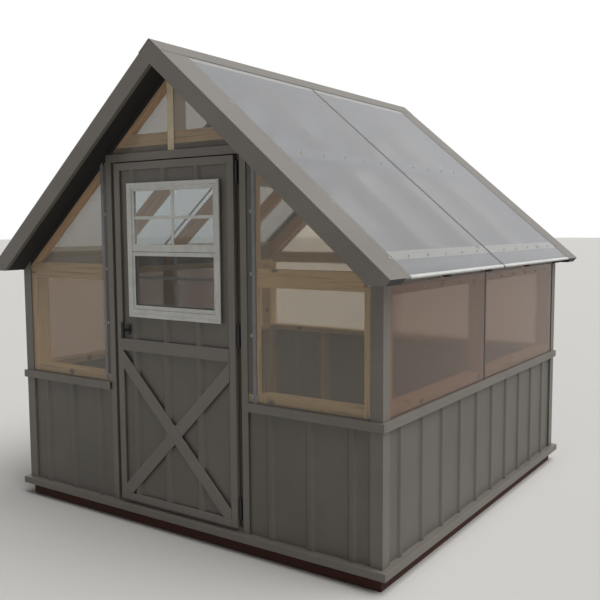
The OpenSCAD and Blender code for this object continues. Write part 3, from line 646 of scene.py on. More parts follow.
@dataclass(frozen=True)
class TwinWall(Finish):
    """Extruded twin-wall polycarbonate sheet.

    Two thin clear skins are held apart by webs. The skins gloss, the webs draw fine lines one
    way across the sheet, and what lies behind blurs with its distance. Webs are 0.5 mm thick
    and 11 mm apart. They are drawn at twice that spacing, as soft lines some 2.4 mm wide, so
    that they show without a shimmer.

    Attributes:
        tint: Colour of the clear skins.
        web: Colour of the webs.
        cloudy: Colour of the light that the webs scatter.
        passed: Colour of the light that goes through to what stands inside.
        across: Axis across the webs.
        haze: Roughness of the skins.
        milk: Share of the light that the webs scatter.
        index: Index of refraction. It is lower than the plastic's own 1.58, because the solid
            sheet would bend light more than two thin skins do.
        pitch: Spacing of the webs as drawn.
        line: Half the width of a web's soft line, as a share of half the spacing.
        clear: Share of the light that the skins let through.
    """

    tint: str
    web: str
    cloudy: str
    passed: str
    across: Across
    haze: float
    milk: float
    index: float = 1.33
    pitch: float = 22 * MM
    line: float = 0.22
    clear: float = 0.88

    def wire(self, tree: Tree) -> Node:
        """Adds the webs, the film of dust and the way light goes through.

        Args:
            tree: The material's nodes.

        Returns:
            The last shader.
        """
        at = add(tree, "TexCoord").outputs["Object"]
        place = add(tree, "SeparateXYZ", {"Vector": at}).outputs[self.across.value]
        step = add(tree, "Math", {0: place, 1: self.pitch / 2}, operation="DIVIDE")
        saw = add(tree, "Math", {0: step, 1: 1.0}, operation="PINGPONG")
        fade = {"From Min": 0.0, "From Max": self.line, "To Min": 1.0, "To Max": 0.0}
        webs = add(tree, "MapRange", {"Value": saw, **fade}, interpolation_type="SMOOTHSTEP")
        # The film of dust lies in patches some 300 mm wide
        soft = {"Vector": at, "Scale": 3.1, "Detail": 6.0, "Roughness": 0.6}
        film = {"Value": add(tree, "TexNoise", soft), "From Min": 0.3, "From Max": 0.75}
        mix = {"Factor": webs, 6: self.tint, 7: self.web}
        clear = add(tree, "Mix", mix, data_type="RGBA").outputs[2]
        blur = {"To Min": self.haze * 0.8, "To Max": self.haze * 1.2}
        rough = add(tree, "MapRange", {**film, **blur})
        skin = {"Base Color": clear, "Roughness": rough, "IOR": self.index}
        sheet = add(tree, "BsdfPrincipled", {**skin, "Transmission Weight": self.clear})
        # The webs and fine scratches scatter some light, to both sides
        back = add(tree, "BsdfTranslucent", {"Color": self.cloudy})
        front = add(tree, "BsdfDiffuse", {"Color": self.cloudy})
        cloud = add(tree, "MixShader", {0: 0.5, 1: back, 2: front})
        body = add(tree, "MixShader", {0: self.milk, 1: sheet, 2: cloud})
        # Light for what stands inside goes straight through, from the lamp and from the sky
        light = add(tree, "BsdfTransparent", {"Color": self.passed})
        ray = add(tree, "LightPath").outputs
        kinds = {0: ray["Is Shadow Ray"], 1: ray["Is Diffuse Ray"]}
        straight = add(tree, "Math", kinds, operation="MAXIMUM")
        return add(tree, "MixShader", {0: straight, 1: body, 2: light})


@dataclass(frozen=True)
class WovenScreen(Finish):
    """Insect screen: dark coated glass yarn, woven square.

    The yarn is 0.3 mm thick at a pitch of 1.4 mm. It is drawn at twice that pitch, with yarn
    twice as thick, so that it doesn't shimmer; the open share stays the same.

    Attributes:
        yarn: Colour of the coated yarn.
        pitch: Spacing of the yarn as drawn.
        filled: Share of the spacing that yarn fills.
    """

    yarn: str = "#2b2d2d"
    pitch: float = 2.8 * MM
    filled: float = 0.22

    def wire(self, tree: Tree) -> Node:
        """Adds yarn both ways, and open air between.

        Args:
            tree: The material's nodes.

        Returns:
            The last shader.
        """
        at = add(tree, "TexCoord").outputs["Object"]
        parts = add(tree, "SeparateXYZ", {"Vector": at}).outputs
        bands = {}
        for number, place in enumerate((parts["X"], parts["Z"])):
            step = add(tree, "Math", {0: place, 1: self.pitch / 2}, operation="DIVIDE")
            wave = add(tree, "Math", {0: step, 1: 1.0}, operation="PINGPONG")
            bands[number] = add(tree, "Math", {0: wave, 1: self.filled}, operation="LESS_THAN")
        woven = add(tree, "Math", bands, operation="MAXIMUM")
        yarn = add(tree, "BsdfPrincipled", {"Base Color": self.yarn, "Roughness": 0.6})
        air = add(tree, "BsdfTransparent", {"Color": "#ffffff"})
        return add(tree, "MixShader", {0: woven, 1: air, 2: yarn})


@dataclass(frozen=True)
class Glass(Finish):
    """Float glass: clear, with a faint green cast and a film of dust.

    Attributes:
        cast: Colour of the pane.
        passed: Colour of the light that goes through to what stands behind.
    """

    cast: str = "#e9efec"
    passed: str = "#eef2f0"

    def wire(self, tree: Tree) -> Node:
        """Adds a clear pane that lets shadow rays through.

        Args:
            tree: The material's nodes.

        Returns:
            The last shader.
        """
        at = add(tree, "TexCoord").outputs["Object"]
        # The film of dust lies in patches some 100 mm wide
        dust = add(tree, "TexNoise", {"Vector": at, "Scale": 9.0, "Detail": 5.0})
        film = {"From Min": 0.45, "From Max": 0.8, "To Min": 0.0, "To Max": 0.06}
        rough = add(tree, "MapRange", {"Value": dust, **film})
        skin = {"Base Color": self.cast, "Roughness": rough, "IOR": 1.5}
        pane = add(tree, "BsdfPrincipled", {**skin, "Transmission Weight": 1.0})
        light = add(tree, "BsdfTransparent", {"Color": self.passed})
        shadow = add(tree, "LightPath").outputs["Is Shadow Ray"]
        return add(tree, "MixShader", {0: shadow, 1: pane, 2: light})


@dataclass(frozen=True)
class Moulded(Finish):
    """Extruded or moulded plastic, a powder coat or plating: a fine even texture, softly soiled.

    Attributes:
        colour: Clean colour.
        soiled: Colour where it is soiled.
        roughness: Roughness where it is clean.
        scale: Grains of the texture to a metre, as coarse as they need to show.
        relief: Strength of the texture.
        metallic: Share of bare metal.
    """

    colour: str
    soiled: str
    roughness: float
    scale: float = 700.0
    relief: float = 0.1
    metallic: float = 0.0

    def wire(self, tree: Tree) -> Node:
        """Adds soft soiling and a fine surface texture.

        Args:
            tree: The material's nodes.

        Returns:
            The last shader.
        """
        at = add(tree, "TexCoord").outputs["Object"]
        # Soil lies in patches some 70 mm wide
        soft = {"Vector": at, "Scale": 14.0, "Detail": 6.0, "Roughness": 0.65}
        soil = add(tree, "TexNoise", soft)
        tint = add(tree, "ValToRGB", {"Fac": soil}, ((0.42, self.colour), (0.75, self.soiled)))
        low, high = self.roughness - 0.06, self.roughness + 0.12
        dull = add(tree, "MapRange", {"Value": soil, "To Min": low, "To Max": high})
        fine = add(tree, "TexNoise", {"Vector": at, "Scale": self.scale, "Detail": 2.0})
        bump = add(tree, "Bump", {"Height": fine, "Strength": self.relief, "Distance": 0.3 * MM})
        skin = {"Base Color": tint, "Roughness": dull, "Normal": bump, "Metallic": self.metallic}
        return add(tree, "BsdfPrincipled", skin)


@dataclass(frozen=True)
class FloorPaint(Finish):
    """Matt pale paint on the studio's floor.

    Attributes:
        colour: Colour of the paint.
    """

    colour: str

    def wire(self, tree: Tree) -> Node:
        """Adds one plain rough shader."""
        return add(tree, "BsdfPrincipled", {"Base Color": self.colour, "Roughness": 0.9})


STEEL_SLOT, TIMBER_SLOT, SHEET_SLOT = "painted_steel", "framing_timber", "twin_wall_polycarbonate"

# Warm grey satin on the ribbed sheets; the folded trims are the same paint drawn lighter, as
# painted light on their flat faces, and with flatter waves
STEEL = CoatedSteel("polyester_coated_steel", STEEL_SLOT)
TRIM = CoatedSteel("polyester_coated_trim", STEEL_SLOT, "#645f58", "#706b64", wave=0.15)
# Flat undersides of the rakes, drawn nearly black: painted shade under the rakes
SOFFIT = CoatedSteel("soffit_steel_painted_shade", STEEL_SLOT, "#1c1a18", "#252320", roughness=0.6)
# Fresh sawn boards: straw coloured, with brown lines and knots
PINE = SawnTimber("sawn_spruce", TIMBER_SLOT, "#dcc294", "#b48c5a", "#54361e")
# Rafters have yellowed; their tails outside the walls are painted dark, as painted shade under the
# eave
RAFTER_PINE = SawnTimber(
    "darkened_spruce", TIMBER_SLOT, "#eabf8c", "#c4925e", "#5a3820", tail=1.224
)
# Boards right under the glazing are drawn nearly white: painted light, for the glare of the sheet
# over them
PALE_PINE = SawnTimber("pale_spruce_painted_light", TIMBER_SLOT, "#ded9cf", "#c9c2b6", "#8b7a68")
# Planed boards of the doorway, drawn near black: painted shade of the gaps round the door
LINING = SawnTimber(
    "spruce_lining_painted_shade", "lining_timber", "#3d3328", "#2e261d", "#1d1712", roughness=0.7
)
# Blocks at the eave, drawn grey: painted shade under the eave
SHADED = SawnTimber(
    "spruce_block_painted_shade", TIMBER_SLOT, "#8f8a83", "#77726b", "#4f4a44", roughness=0.75
)
# Ground timbers soaked in brown preservative
TREATED = SawnTimber(
    "brown_treated_timber", "treated_timber", "#38190d", "#200e07", "#120805", 0.12, 0.85
)
# Clear sheet of the front and the back: the frame behind it stays crisp
WALL_SHEET_X = TwinWall(
    "twin_wall_sheet_front",
    SHEET_SLOT,
    tint="#e0dad1",
    web="#d7d1c7",
    cloudy="#c8cbce",
    passed="#e6e1da",
    across=Across.X,
    haze=0.06,
    milk=0.02,
    index=1.22,
)
# Browner sheet of the sides, with more haze
WALL_SHEET_Y = TwinWall(
    "twin_wall_sheet_side",
    SHEET_SLOT,
    tint="#b29c91",
    web="#a79085",
    cloudy="#8d7a70",
    passed="#d8d0c8",
    across=Across.Y,
    haze=0.09,
    milk=0.07,
)
# Milky sheet of the roof: purlins show, rafters blur
ROOF_SHEET = TwinWall(
    "twin_wall_sheet_roof",
    SHEET_SLOT,
    tint="#cdd0d3",
    web="#c1c4c7",
    cloudy="#b3b6bc",
    passed="#b2b1b0",
    across=Across.Y,
    haze=0.17,
    milk=0.27,
)
# A clear gloss that shows the sky, and a dark net that dims what lies behind
PANE = Glass("float_glass", "window_glass")
SCREEN = WovenScreen("fibreglass_insect_screen", "insect_screen")
# Extrusions: bronze over the joints, cream in the gable, pale at the sheets' edges; beside the door
# the pale channel is drawn grey, as painted shade of the front wall
JOINER = Moulded("bronze_joiner_strip", "dark_joiner", "#3f3a38", "#4c4744", 0.32)
STRIP = Moulded("cream_cover_strip", "cream_strip", "#cfc1a2", "#bdac88", 0.42)
EDGE = Moulded("pale_channel_painted_shade", "pale_channel", "#77777a", "#69696b", 0.4)
CHANNEL = Moulded("pale_edge_channel", "pale_channel", "#c4c6c4", "#b2b4b1", 0.35)
# The window's vinyl is a slightly chalky white, and its pile seal dull and nearly black
VINYL = Moulded("white_extruded_vinyl", "white_window", "#c6c6c2", "#b6b5af", 0.34)
RUBBER = Moulded("black_sealing_pile", "white_window", "#2a2a2b", "#3a3938", 0.7)
# Powder coat on the hinges and the latch: black, with a fine orange peel
COATED = Moulded(
    "black_powder_coat", "black_hardware", "#070707", "#0e0e0e", 0.58, scale=1500.0, relief=0.3
)
# Plated washers stay bright, screw heads have dulled
ZINC = Moulded("zinc_plated_steel", "zinc_screws", "#b4b4b0", "#94938e", 0.42, metallic=0.6)
DARK_ZINC = Moulded("weathered_screw_head", "zinc_screws", "#4a4a48", "#3a3937", 0.5, metallic=0.6)
# Matt and plain, so that only the object draws the eye
FLOOR = FloorPaint("pale_floor", "", "#cbc9c5")


# The house


class Wall(Enum):
    """The four walls, from the front and turning to the right."""

    FRONT = 0
    RIGHT = 1
    BACK = 2
    LEFT = 3

    def ways(self) -> tuple[Array, Array]:
        """Directions to the wall's right, seen from outside, and outwards."""
        s, c = math.sin(self.value * math.pi / 2), math.cos(self.value * math.pi / 2)
        return np.array([c, s, 0.0]), np.array([s, -c, 0.0])


@dataclass(frozen=True)
class House:
    """Sizes that more than one sub-assembly works from.

    Attributes:
        half: Half the side of the square framing.
        plate_top: Top of the side walls' plates.
        eave_reach: Reach of the roof past the side walls.
        gable_reach: Reach of the roof past the gables.
        slope: Pitch of the roof.
        seat: Distance from the framing's face to where the rafters meet the plates' tops.
        rafter: Depth of a rafter.
        board: Depth of a purlin.
        sheet: Thickness of the steel.
        panel: Thickness of the twin-wall sheet.
    """

    half: float = 1.219
    plate_top: float = 1.367
    eave_reach: float = 0.119
    gable_reach: float = 0.150
    slope: float = math.radians(40.5)
    seat: float = 0.036
    rafter: float = 0.089
    board: float = 0.038
    sheet: float = 0.001
    panel: float = 0.008

    @property
    def apex(self) -> float:
        """Height at which the two planes of purlin tops meet."""
        rise = (self.half - self.seat) * math.tan(self.slope)
        return self.plate_top + rise + (self.rafter + self.board) / math.cos(self.slope)

    @property
    def cover(self) -> float:
        """Outer face of steel that lies on a panel, from what carries the panel."""
        return self.panel + self.sheet

    @property
    def roof_run(self) -> float:
        """Run of the roof, down the slope from the ridge."""
        reach = self.half + self.eave_reach - self.cover * math.sin(self.slope)
        return reach / math.cos(self.slope)

    @property
    def rake_y(self) -> float:
        """Reach of the roof from the middle of the house."""
        return self.half + self.gable_reach

    def slope_z(self, x: Array, rise: float) -> Array:
        """Height of the plane a rise above the purlins, over a place in plan."""
        return self.apex + rise / math.cos(self.slope) - np.abs(x) * math.tan(self.slope)


HOUSE = House()


def on_wall(wall: Wall, along: Array | float, out: Array | float, z: Array | float) -> Array:
    """Places on a wall, whose directions are the front's, turned by quarters.

    Args:
        wall: The wall.
        along: Distance to the right of the wall's middle, seen from outside.
        out: Distance outwards from the framing.
        z: Height.

    Returns:
        Points, with a last axis of three.
    """
    run, face = wall.ways()
    along, out, z = np.broadcast_arrays(along, out, z)
    level = along[..., None] * run + (HOUSE.half + out)[..., None] * face
    return level + z[..., None] * np.array([0.0, 0.0, 1.0])


def on_slope(side: int, run: Array | float, y: Array | float, rise: Array | float) -> Array:
    """Places on a roof slope, which falls to the side by the cosine and sine of its pitch.

    Args:
        side: 1 for the right slope, -1 for the left.
        run: Distance down the slope from the ridge.
        y: Depth in the house.
        rise: Distance square to the slope from the purlins' tops.

    Returns:
        Points, with a last axis of three.
    """
    s, c = math.sin(HOUSE.slope), math.cos(HOUSE.slope)
    run, y, rise = np.broadcast_arrays(run, y, rise)
    return np.stack([side * (run * c + rise * s), y, HOUSE.apex - run * s + rise * c], axis=-1)


def laid(wall: Wall, loop: Array, ends: Array) -> Mesh:
    """Lays a section of outward distances and heights along a wall, between two ends."""
    return loft(on_wall(wall, ends, loop[None, :, 0], loop[None, :, 1]))


def framed(loop: Array, low: tuple[float, float], high: tuple[float, float], gap: float) -> Mesh:
    """Carries a section round an upright rectangle of the front in four mitred lengths.

    A point of the section keeps its distance from both sides of a corner, which sets the
    mitre, and each length stops a gap short of it.

    Args:
        loop: The section: distance inwards from the rectangle, and outwards from the framing.
        low: The rectangle's low corner, (x, z).
        high: The rectangle's high corner, (x, z).
        gap: Half the width of each mitre joint.

    Returns:
        The four lengths in one mesh.
    """
    corner = np.array([low, (high[0], low[1]), high, (low[0], high[1])])
    inward = np.array([[1, 1], [-1, 1], [-1, -1], [1, -1]])
    flat = corner[:, None, :] + loop[None, :, :1] * inward[:, None, :]
    way = unit(np.roll(corner, -1, axis=0) - corner)[:, None, :] * gap
    ends = np.stack([flat + way, np.roll(flat, -1, axis=0) - way], axis=1)
    depth = np.broadcast_to(-HOUSE.half - loop[:, 1:], ends.shape[:3] + (1,))
    grid = np.concatenate([ends[..., :1], depth, ends[..., 1:]], axis=-1)
    return joined([loft(side) for side in grid])


def with_level(loop: Array, value: float) -> Array:
    """Adds a point wherever a loop's edges cross a level of its second number.

    The place on an edge is the level's share of the edge's rise.

    Args:
        loop: The closed loop, shape (n, 2).
        value: The level.

    Returns:
        The loop with the points added.
    """
    ahead = np.roll(loop, -1, axis=0)
    cross = (loop[:, 1] - value) * (ahead[:, 1] - value) < 0
    t = ((value - loop[:, 1]) / np.where(cross, ahead[:, 1] - loop[:, 1], 1.0))[:, None]
    return np.insert(loop, np.flatnonzero(cross) + 1, (loop + t * (ahead - loop))[cross], axis=0)


def repeated(form: Mesh, origins: Array, axes: Array) -> Mesh:
    """Sets copies of a form made of quads and triangles at many places.

    Each copy's corners are multiplied by three square directions, of which the third is the
    copy's axis, and moved to its place.

    Args:
        form: The form, standing on the origin along +Z.
        origins: Where each copy stands, shape (m, 3).
        axes: Each copy's direction, shape (m, 3).

    Returns:
        All copies in one mesh.
    """
    w = unit(axes)
    u = unit(np.cross(w, [0.31, 0.52, 0.79]))
    turn = np.stack([u, np.cross(w, u), w], axis=1)
    points = origins[:, None, :] + np.einsum("nk,mkj->mnj", form.points, turn)
    shift = (np.arange(len(origins)) * len(form.points))[:, None, None]
    fans = (np.array(form.others)[None] + shift).reshape(-1, 3)
    return Mesh(points.reshape(-1, 3), (form.quads[None] + shift).reshape(-1, 4), fans.tolist())


@dataclass
class SteelCladding:
    """The ribbed sheets below the glazing, rolled with rounded bends.

    Attributes:
        pitch: Spacing of the ribs.
        top: Width of a rib at its top.
        foot: Width of a rib at its foot.
        high: Height of a rib.
        pan: Outer face of the flat pans, from the framing.
        bend: Radius of the bends.
        low_z: Lower edge.
        high_z: Upper edge.
        side_start: First rib of a side wall, from the front corner.
        front_start: Rib nearest the door, from the middle.
        front_off: Shift of the front wall's ribs to the right.
        near_door: Edge of the front sheets beside the door.
        most: More ribs than a wall holds.
    """

    pitch: float = 228.6 * MM
    top: float = 22 * MM
    foot: float = 50 * MM
    high: float = 10 * MM
    pan: float = 2 * MM
    bend: float = 3 * MM
    low_z: float = 109.3 * MM
    high_z: float = 773.7 * MM
    side_start: float = 170 * MM
    front_start: float = 605 * MM
    front_off: float = 8 * MM
    near_door: float = 460 * MM
    most: int = 12

    def section(self, start: float, end: float, ribs: Array) -> Array:
        """Outline in plan of a ribbed sheet.

        A rib is a trapezoid: its flanks go from half the foot to half the top on both sides
        of its middle. Points are the place along the wall and the depth, which is negative
        outwards.

        Args:
            start: Left edge.
            end: Right edge.
            ribs: Middles of the ribs, rising; those outside the edges are left out.

        Returns:
            The closed outline, shape (n, 2).
        """
        ribs = ribs[(ribs > start + self.foot / 2) & (ribs < end - self.foot / 2)]
        step = np.array([-self.foot, -self.top, self.top, self.foot]) / 2
        along = (ribs[:, None] + step).ravel()
        depth = np.tile(-(self.pan + self.high * np.array([0, 1, 1, 0])), len(ribs))
        path = np.column_stack([np.r_[start, along, end], np.r_[-self.pan, depth, -self.pan]])
        return sheet_loop(path, HOUSE.sheet, self.bend)

    def rolled(self, wall: Wall, loop: Array, low: float, high: float) -> Mesh:
        """Raises a sheet's outline between two heights on a wall."""
        z = np.array([[low], [high]])
        return loft(on_wall(wall, loop[None, :, 0], -loop[None, :, 1], z))

    def row(self, first: float) -> Array:
        """Middles of the ribs from the first one to the right."""
        return first + np.arange(self.most) * self.pitch

    def build(self) -> None:
        """Makes the sheets of the four walls."""
        end = HOUSE.half - self.pan
        side = self.row(self.side_start - HOUSE.half)
        right = self.row(self.front_start + self.front_off)
        left = -self.row(self.front_start - self.front_off)[::-1]
        middle = np.arange(-self.most, self.most + 1) * self.pitch
        front = [
            self.section(self.near_door, end, right),
            self.section(-end, -self.near_door, left),
        ]
        sheets = {
            Wall.RIGHT: [self.section(-end, end, side)],
            Wall.BACK: [self.section(-end, end, middle)],
            Wall.LEFT: [self.section(-end, end, -side[::-1])],
            Wall.FRONT: front,
        }
        for wall, loops in sheets.items():
            mesh = joined([self.rolled(wall, loop, self.low_z, self.high_z) for loop in loops])
            place, plural = wall.name.lower(), "s" if len(loops) > 1 else ""
            piece(f"ribbed_sheet{plural}_{place}", mesh, STEEL, "siding_" + place)


@dataclass
class SteelTrims:
    """Folded trims of the walls and the roof.

    Attributes:
        bend: Radius of the outer bends.
        base: Base trim: lower edge, upper edge, and how far it stands out.
        base_return: Width of the base trim's return below.
        base_flange: Height of its flange on the wall.
        threshold: Top of the flange on the front, which goes under the door.
        belt: Belt trim: lower edge, upper edge, and how far it stands out.
        wrap: Length of belt that turns each corner.
        lap: Height that the belt's flange reaches.
        corner: How far the corner trims stand out.
        casing: Outer edge of the door casings.
        flange: Width of the rake trim on the roof.
        face: Depth of the rake's face.
        rake_return: Width of the rake's return below.
        level: Height of the level cut at the foot of the rakes.
        ridge_leg: Width of a leg of the ridge cap.
        ridge_bend: Radius of the cap's fold, and its number of facets.
        ridge_past: Reach of the cap past the rakes.
        mitre: Half the joint between mitred base trims.
        butt: Joint at the ends of the belts.
        peak: Half the joint between the rakes.
        ease: Width of the rounded edges of the other trims.
    """

    bend: float = 2.2 * MM
    base: tuple[float, float, float] = (70 * MM, 109 * MM, 42 * MM)
    base_return: float = 12 * MM
    base_flange: float = 38 * MM
    threshold: float = 127 * MM
    belt: tuple[float, float, float] = (732 * MM, 775 * MM, 26 * MM)
    wrap: float = 118 * MM
    lap: float = 781 * MM
    corner: float = 13 * MM
    casing: float = 484 * MM
    flange: float = 195 * MM
    face: float = 92 * MM
    rake_return: float = 24 * MM
    level: float = 1386 * MM
    ridge_leg: float = 96 * MM
    ridge_bend: tuple[float, int] = (5 * MM, 6)
    ridge_past: float = 2 * MM
    mitre: float = 0.25 * MM
    butt: float = 0.3 * MM
    peak: float = 0.2 * MM
    ease: float = 0.8 * MM

    def base_trims(self) -> None:
        """Makes the four base trims, each cut to a mitre at its ends.

        A trim ends at the wall's half length plus the point's own distance outwards, less a
        hair for the joint.
        """
        low, high, out = self.base
        t = HOUSE.sheet
        parts = []
        for wall in Wall:
            top = self.threshold if wall is Wall.FRONT else high + self.base_flange
            path = [[out - self.base_return, low], [out, low], [out, high], [t, high], [t, top]]
            loop = sheet_loop(path, t, self.bend)
            end = HOUSE.half + loop[:, 0] - self.mitre
            parts.append(laid(wall, loop, np.stack([-end, end])))
        piece("base_trims_folded", joined(parts), TRIM, "base_trims")

    def belt_trims(self) -> None:
        """Makes the belts: the side ones turn the corners, the others lie between them.

        The section is a lower return, a face, a ledge and a flange.
        """
        low, high, out = self.belt
        t, h = HOUSE.sheet, HOUSE.half
        path = [[self.corner, low], [out, low], [out, high], [t, high], [t, self.lap]]
        loop = sheet_loop(path, t, self.bend)
        turn = h - self.wrap
        right = np.array([[turn, -h], [h, -h], [h, h], [turn, h]])
        for side, route in (("right", right), ("left", -right)):
            piece("belt_folded_" + side, carried(loop, route), TRIM, "belt_trim_" + side)
        near, end = self.casing + self.butt, turn - self.butt
        spans = [(Wall.FRONT, near, end), (Wall.FRONT, -end, -near), (Wall.BACK, -end, end)]
        parts = [laid(wall, loop, np.array([[a], [b]])) for wall, a, b in spans]
        piece("belts_folded_ends", joined(parts), TRIM, "belt_trims_ends")

    def rake_trims(self) -> None:
        """Makes the rake trims: a flange on the roof, a face, and a return below it.

        Each point of the section runs from the ridge's plane, at a run of minus the rise times
        the slope's tangent, to the lesser of the square end and the level cut.
        """
        s, c = math.sin(HOUSE.slope), math.cos(HOUSE.slope)
        y, top = HOUSE.rake_y, HOUSE.cover
        low = top - self.face
        path = [[self.flange - y, top], [-y, top], [-y, low], [self.rake_return - y, low]]
        loop = sheet_loop(path, HOUSE.sheet, self.bend)
        loop = with_level(loop, (HOUSE.roof_run * s + self.level - HOUSE.apex) / c)
        rise = loop[:, 1]
        start = -rise * math.tan(HOUSE.slope) + self.peak
        end = np.minimum(HOUSE.roof_run, (HOUSE.apex + rise * c - self.level) / s)
        run = np.stack([start, end])
        for name, way in (("front", 1), ("back", -1)):
            grids = [on_slope(side, run, way * loop[None, :, 0], rise[None]) for side in (1, -1)]
            mesh = joined([loft(grid) for grid in grids])
            piece("rake_folded_" + name, mesh, TRIM, "rake_trims_" + name)

    def ridge_cap(self) -> None:
        """Makes the ridge cap: two legs from a rounded fold over the ridge."""
        rise = HOUSE.cover + HOUSE.sheet
        x, _, z = on_slope(1, self.ridge_leg - rise * math.tan(HOUSE.slope), 0.0, rise)
        top = HOUSE.apex + rise / math.cos(HOUSE.slope)
        loop = sheet_loop([[x, z], [0.0, top], [-x, z]], HOUSE.sheet, *self.ridge_bend)
        y = np.array([[-1], [1]]) * (HOUSE.rake_y + self.ridge_past)
        grid = np.stack(np.broadcast_arrays(loop[None, :, 0], y, loop[None, :, 1]), axis=-1)
        piece("ridge_cap_folded", loft(grid), TRIM, "ridge_cap")

    def build(self) -> None:
        """Makes every trim; the corners, casings and soffits keep their solids' outlines."""
        self.base_trims()
        self.belt_trims()
        self.rake_trims()
        self.ridge_cap()
        eased("corner_trims", TRIM, self.ease)
        eased("door_casings", TRIM, self.ease)
        eased("rake_soffits", SOFFIT, self.ease)


@dataclass
class DoorLeaf:
    """The steel faced leaf: ribbed skin, mitred edge trims, middle rail and crossed braces.

    Attributes:
        half: Half the leaf's width.
        low: Foot of the leaf.
        high: Top of the leaf.
        pan: Outer face of the skin's pans, from the framing.
        rib: Height of the skin's ribs.
        inset: How far the skin stays inside the leaf's edges.
        middle: Place of the middle rib.
        face: Width of the edge trims.
        lip: Depth of their inner lip.
        back: Back of the leaf, from the framing.
        back_flange: Width of the edge trims on the back.
        bend: Radius of their bends.
        mitre: Half the joint of their mitres.
        window: Opening cut in the skin: left, right, foot and head.
        ease: Width of the rounded edges of the rail and the braces.
    """

    half: float = 415 * MM
    low: float = 130 * MM
    high: float = 1978.94 * MM
    pan: float = 8 * MM
    rib: float = 13 * MM
    inset: float = 2 * MM
    middle: float = -58 * MM
    face: float = 40 * MM
    lip: float = 8 * MM
    back: float = -32 * MM
    back_flange: float = 20 * MM
    bend: float = 1.6 * MM
    mitre: float = 0.2 * MM
    window: tuple[float, float, float, float] = (-312 * MM, 318 * MM, 1165.9 * MM, 1858.9 * MM)
    ease: float = 1.0 * MM

    def skin(self) -> None:
        """Makes the ribbed skin in four strips round the window, whose fin hides their joints."""
        sheet = SteelCladding(pan=self.pan, high=self.rib)
        edge = self.half - self.inset
        ribs = self.middle + np.array([-1, 0, 1]) * sheet.pitch
        left, right, foot, head = self.window
        full = sheet.section(-edge, edge, ribs)
        strips = [
            (full, self.low + self.inset, foot),
            (full, head, self.high - self.inset),
            (sheet.section(-edge, left, ribs), foot, head),
            (sheet.section(right, edge, ribs), foot, head),
        ]
        mesh = joined([sheet.rolled(Wall.FRONT, *strip) for strip in strips])
        piece("door_skin_ribbed", mesh, STEEL, "door_skin", "door_leaf")

    def edge_trims(self) -> None:
        """Makes the four trims round the leaf, folded over its edges and mitred."""
        front = self.pan + self.rib + HOUSE.sheet
        lip = [[self.face, front - self.lip], [self.face, front]]
        path = lip + [[0, front], [0, self.back], [self.back_flange, self.back]]
        loop = sheet_loop(path, HOUSE.sheet, self.bend)
        mesh = framed(loop, (-self.half, self.low), (self.half, self.high), self.mitre)
        piece("door_edge_trims_folded", mesh, TRIM, "door_edge_trims", "door_leaf")

    def build(self) -> None:
        """Makes the leaf's steel."""
        self.skin()
        self.edge_trims()
        eased("door_mid_rail", TRIM, self.ease)
        eased("door_braces", TRIM, self.ease)


@dataclass
class SashWindow:
    """The single-hung window in the door, with an insect screen before its lower sash.

    Attributes:
        low: Left and foot of the fin.
        high: Right and head of the fin.
        front: Front of the frame's face, from the framing.
        rim: Raised rim: distance from the fin's edge, width and height.
        bead: Bead round the opening: distance from the fin's edge, width and height.
        sunk: How far the foot of a bead lies in the face.
        facets: Facets of a bead's arch.
        seal_ends: Left and right end of the pile seal, over the screen.
        seal: The seal's distance from the framing, height and radius.
        seal_facets: Facets round it.
        ease: Width of the rounded edges.
    """

    low: tuple[float, float] = (-315 * MM, 1154.9 * MM)
    high: tuple[float, float] = (327 * MM, 1869.9 * MM)
    front: float = 27 * MM
    rim: tuple[float, float, float] = (0.4 * MM, 11 * MM, 3.5 * MM)
    bead: tuple[float, float, float] = (23 * MM, 6 * MM, 2 * MM)
    sunk: float = 0.3 * MM
    facets: int = 8
    seal_ends: tuple[float, float] = (-284 * MM, 296 * MM)
    seal: tuple[float, float, float] = (19.6 * MM, 1506.2 * MM, 1.6 * MM)
    seal_facets: int = 12
    ease: float = 1.4 * MM

    def rounded(self, start: float, width: float, high: float) -> Array:
        """Section of a bead: half an ellipse on a flat foot sunk a hair into the face.

        The height at an angle a is high * sin(a) and the place is start plus the half width
        times one minus cos(a).

        Args:
            start: Distance from the fin's edge.
            width: Width of the bead.
            high: Its height.

        Returns:
            The closed section, shape (n, 2).
        """
        a = np.linspace(0, math.pi, self.facets + 1)
        across = start + width / 2 * (1 - np.cos(a))
        arch = np.column_stack([across, self.front + high * np.sin(a)])
        foot = np.column_stack([across[::-1], np.full(len(a), self.front - self.sunk)])
        return np.vstack([arch, foot])

    def beads(self) -> None:
        """Makes the rim at the fin's edge and the bead round the opening."""
        loops = [self.rounded(*self.rim), self.rounded(*self.bead)]
        mesh = joined([framed(loop, self.low, self.high, 0.0) for loop in loops])
        piece("window_beads", mesh, VINYL, body="door_leaf")

    def pile_seal(self) -> None:
        """Makes the dark pile seal between the fixed sash and the screen, a thin round rod."""
        a = np.linspace(0, 2 * math.pi, self.seal_facets, endpoint=False)[None]
        out, z, r = self.seal
        x = np.array(self.seal_ends)[:, None]
        grid = on_wall(Wall.FRONT, x, out + r * np.cos(a), z + r * np.sin(a))
        piece("meeting_seal", loft(grid, Cap.FACE), RUBBER, body="door_leaf")

    def build(self) -> None:
        """Dresses the frame, the sashes, the panes and the screen."""
        for node in ("window_frame", "upper_sash", "lower_sash", "screen_frame"):
            eased(node, VINYL, self.ease)
        self.beads()
        self.pile_seal()
        dress("upper_glass", PANE)
        dress("lower_glass", PANE)
        dress("screen_mesh", SCREEN)


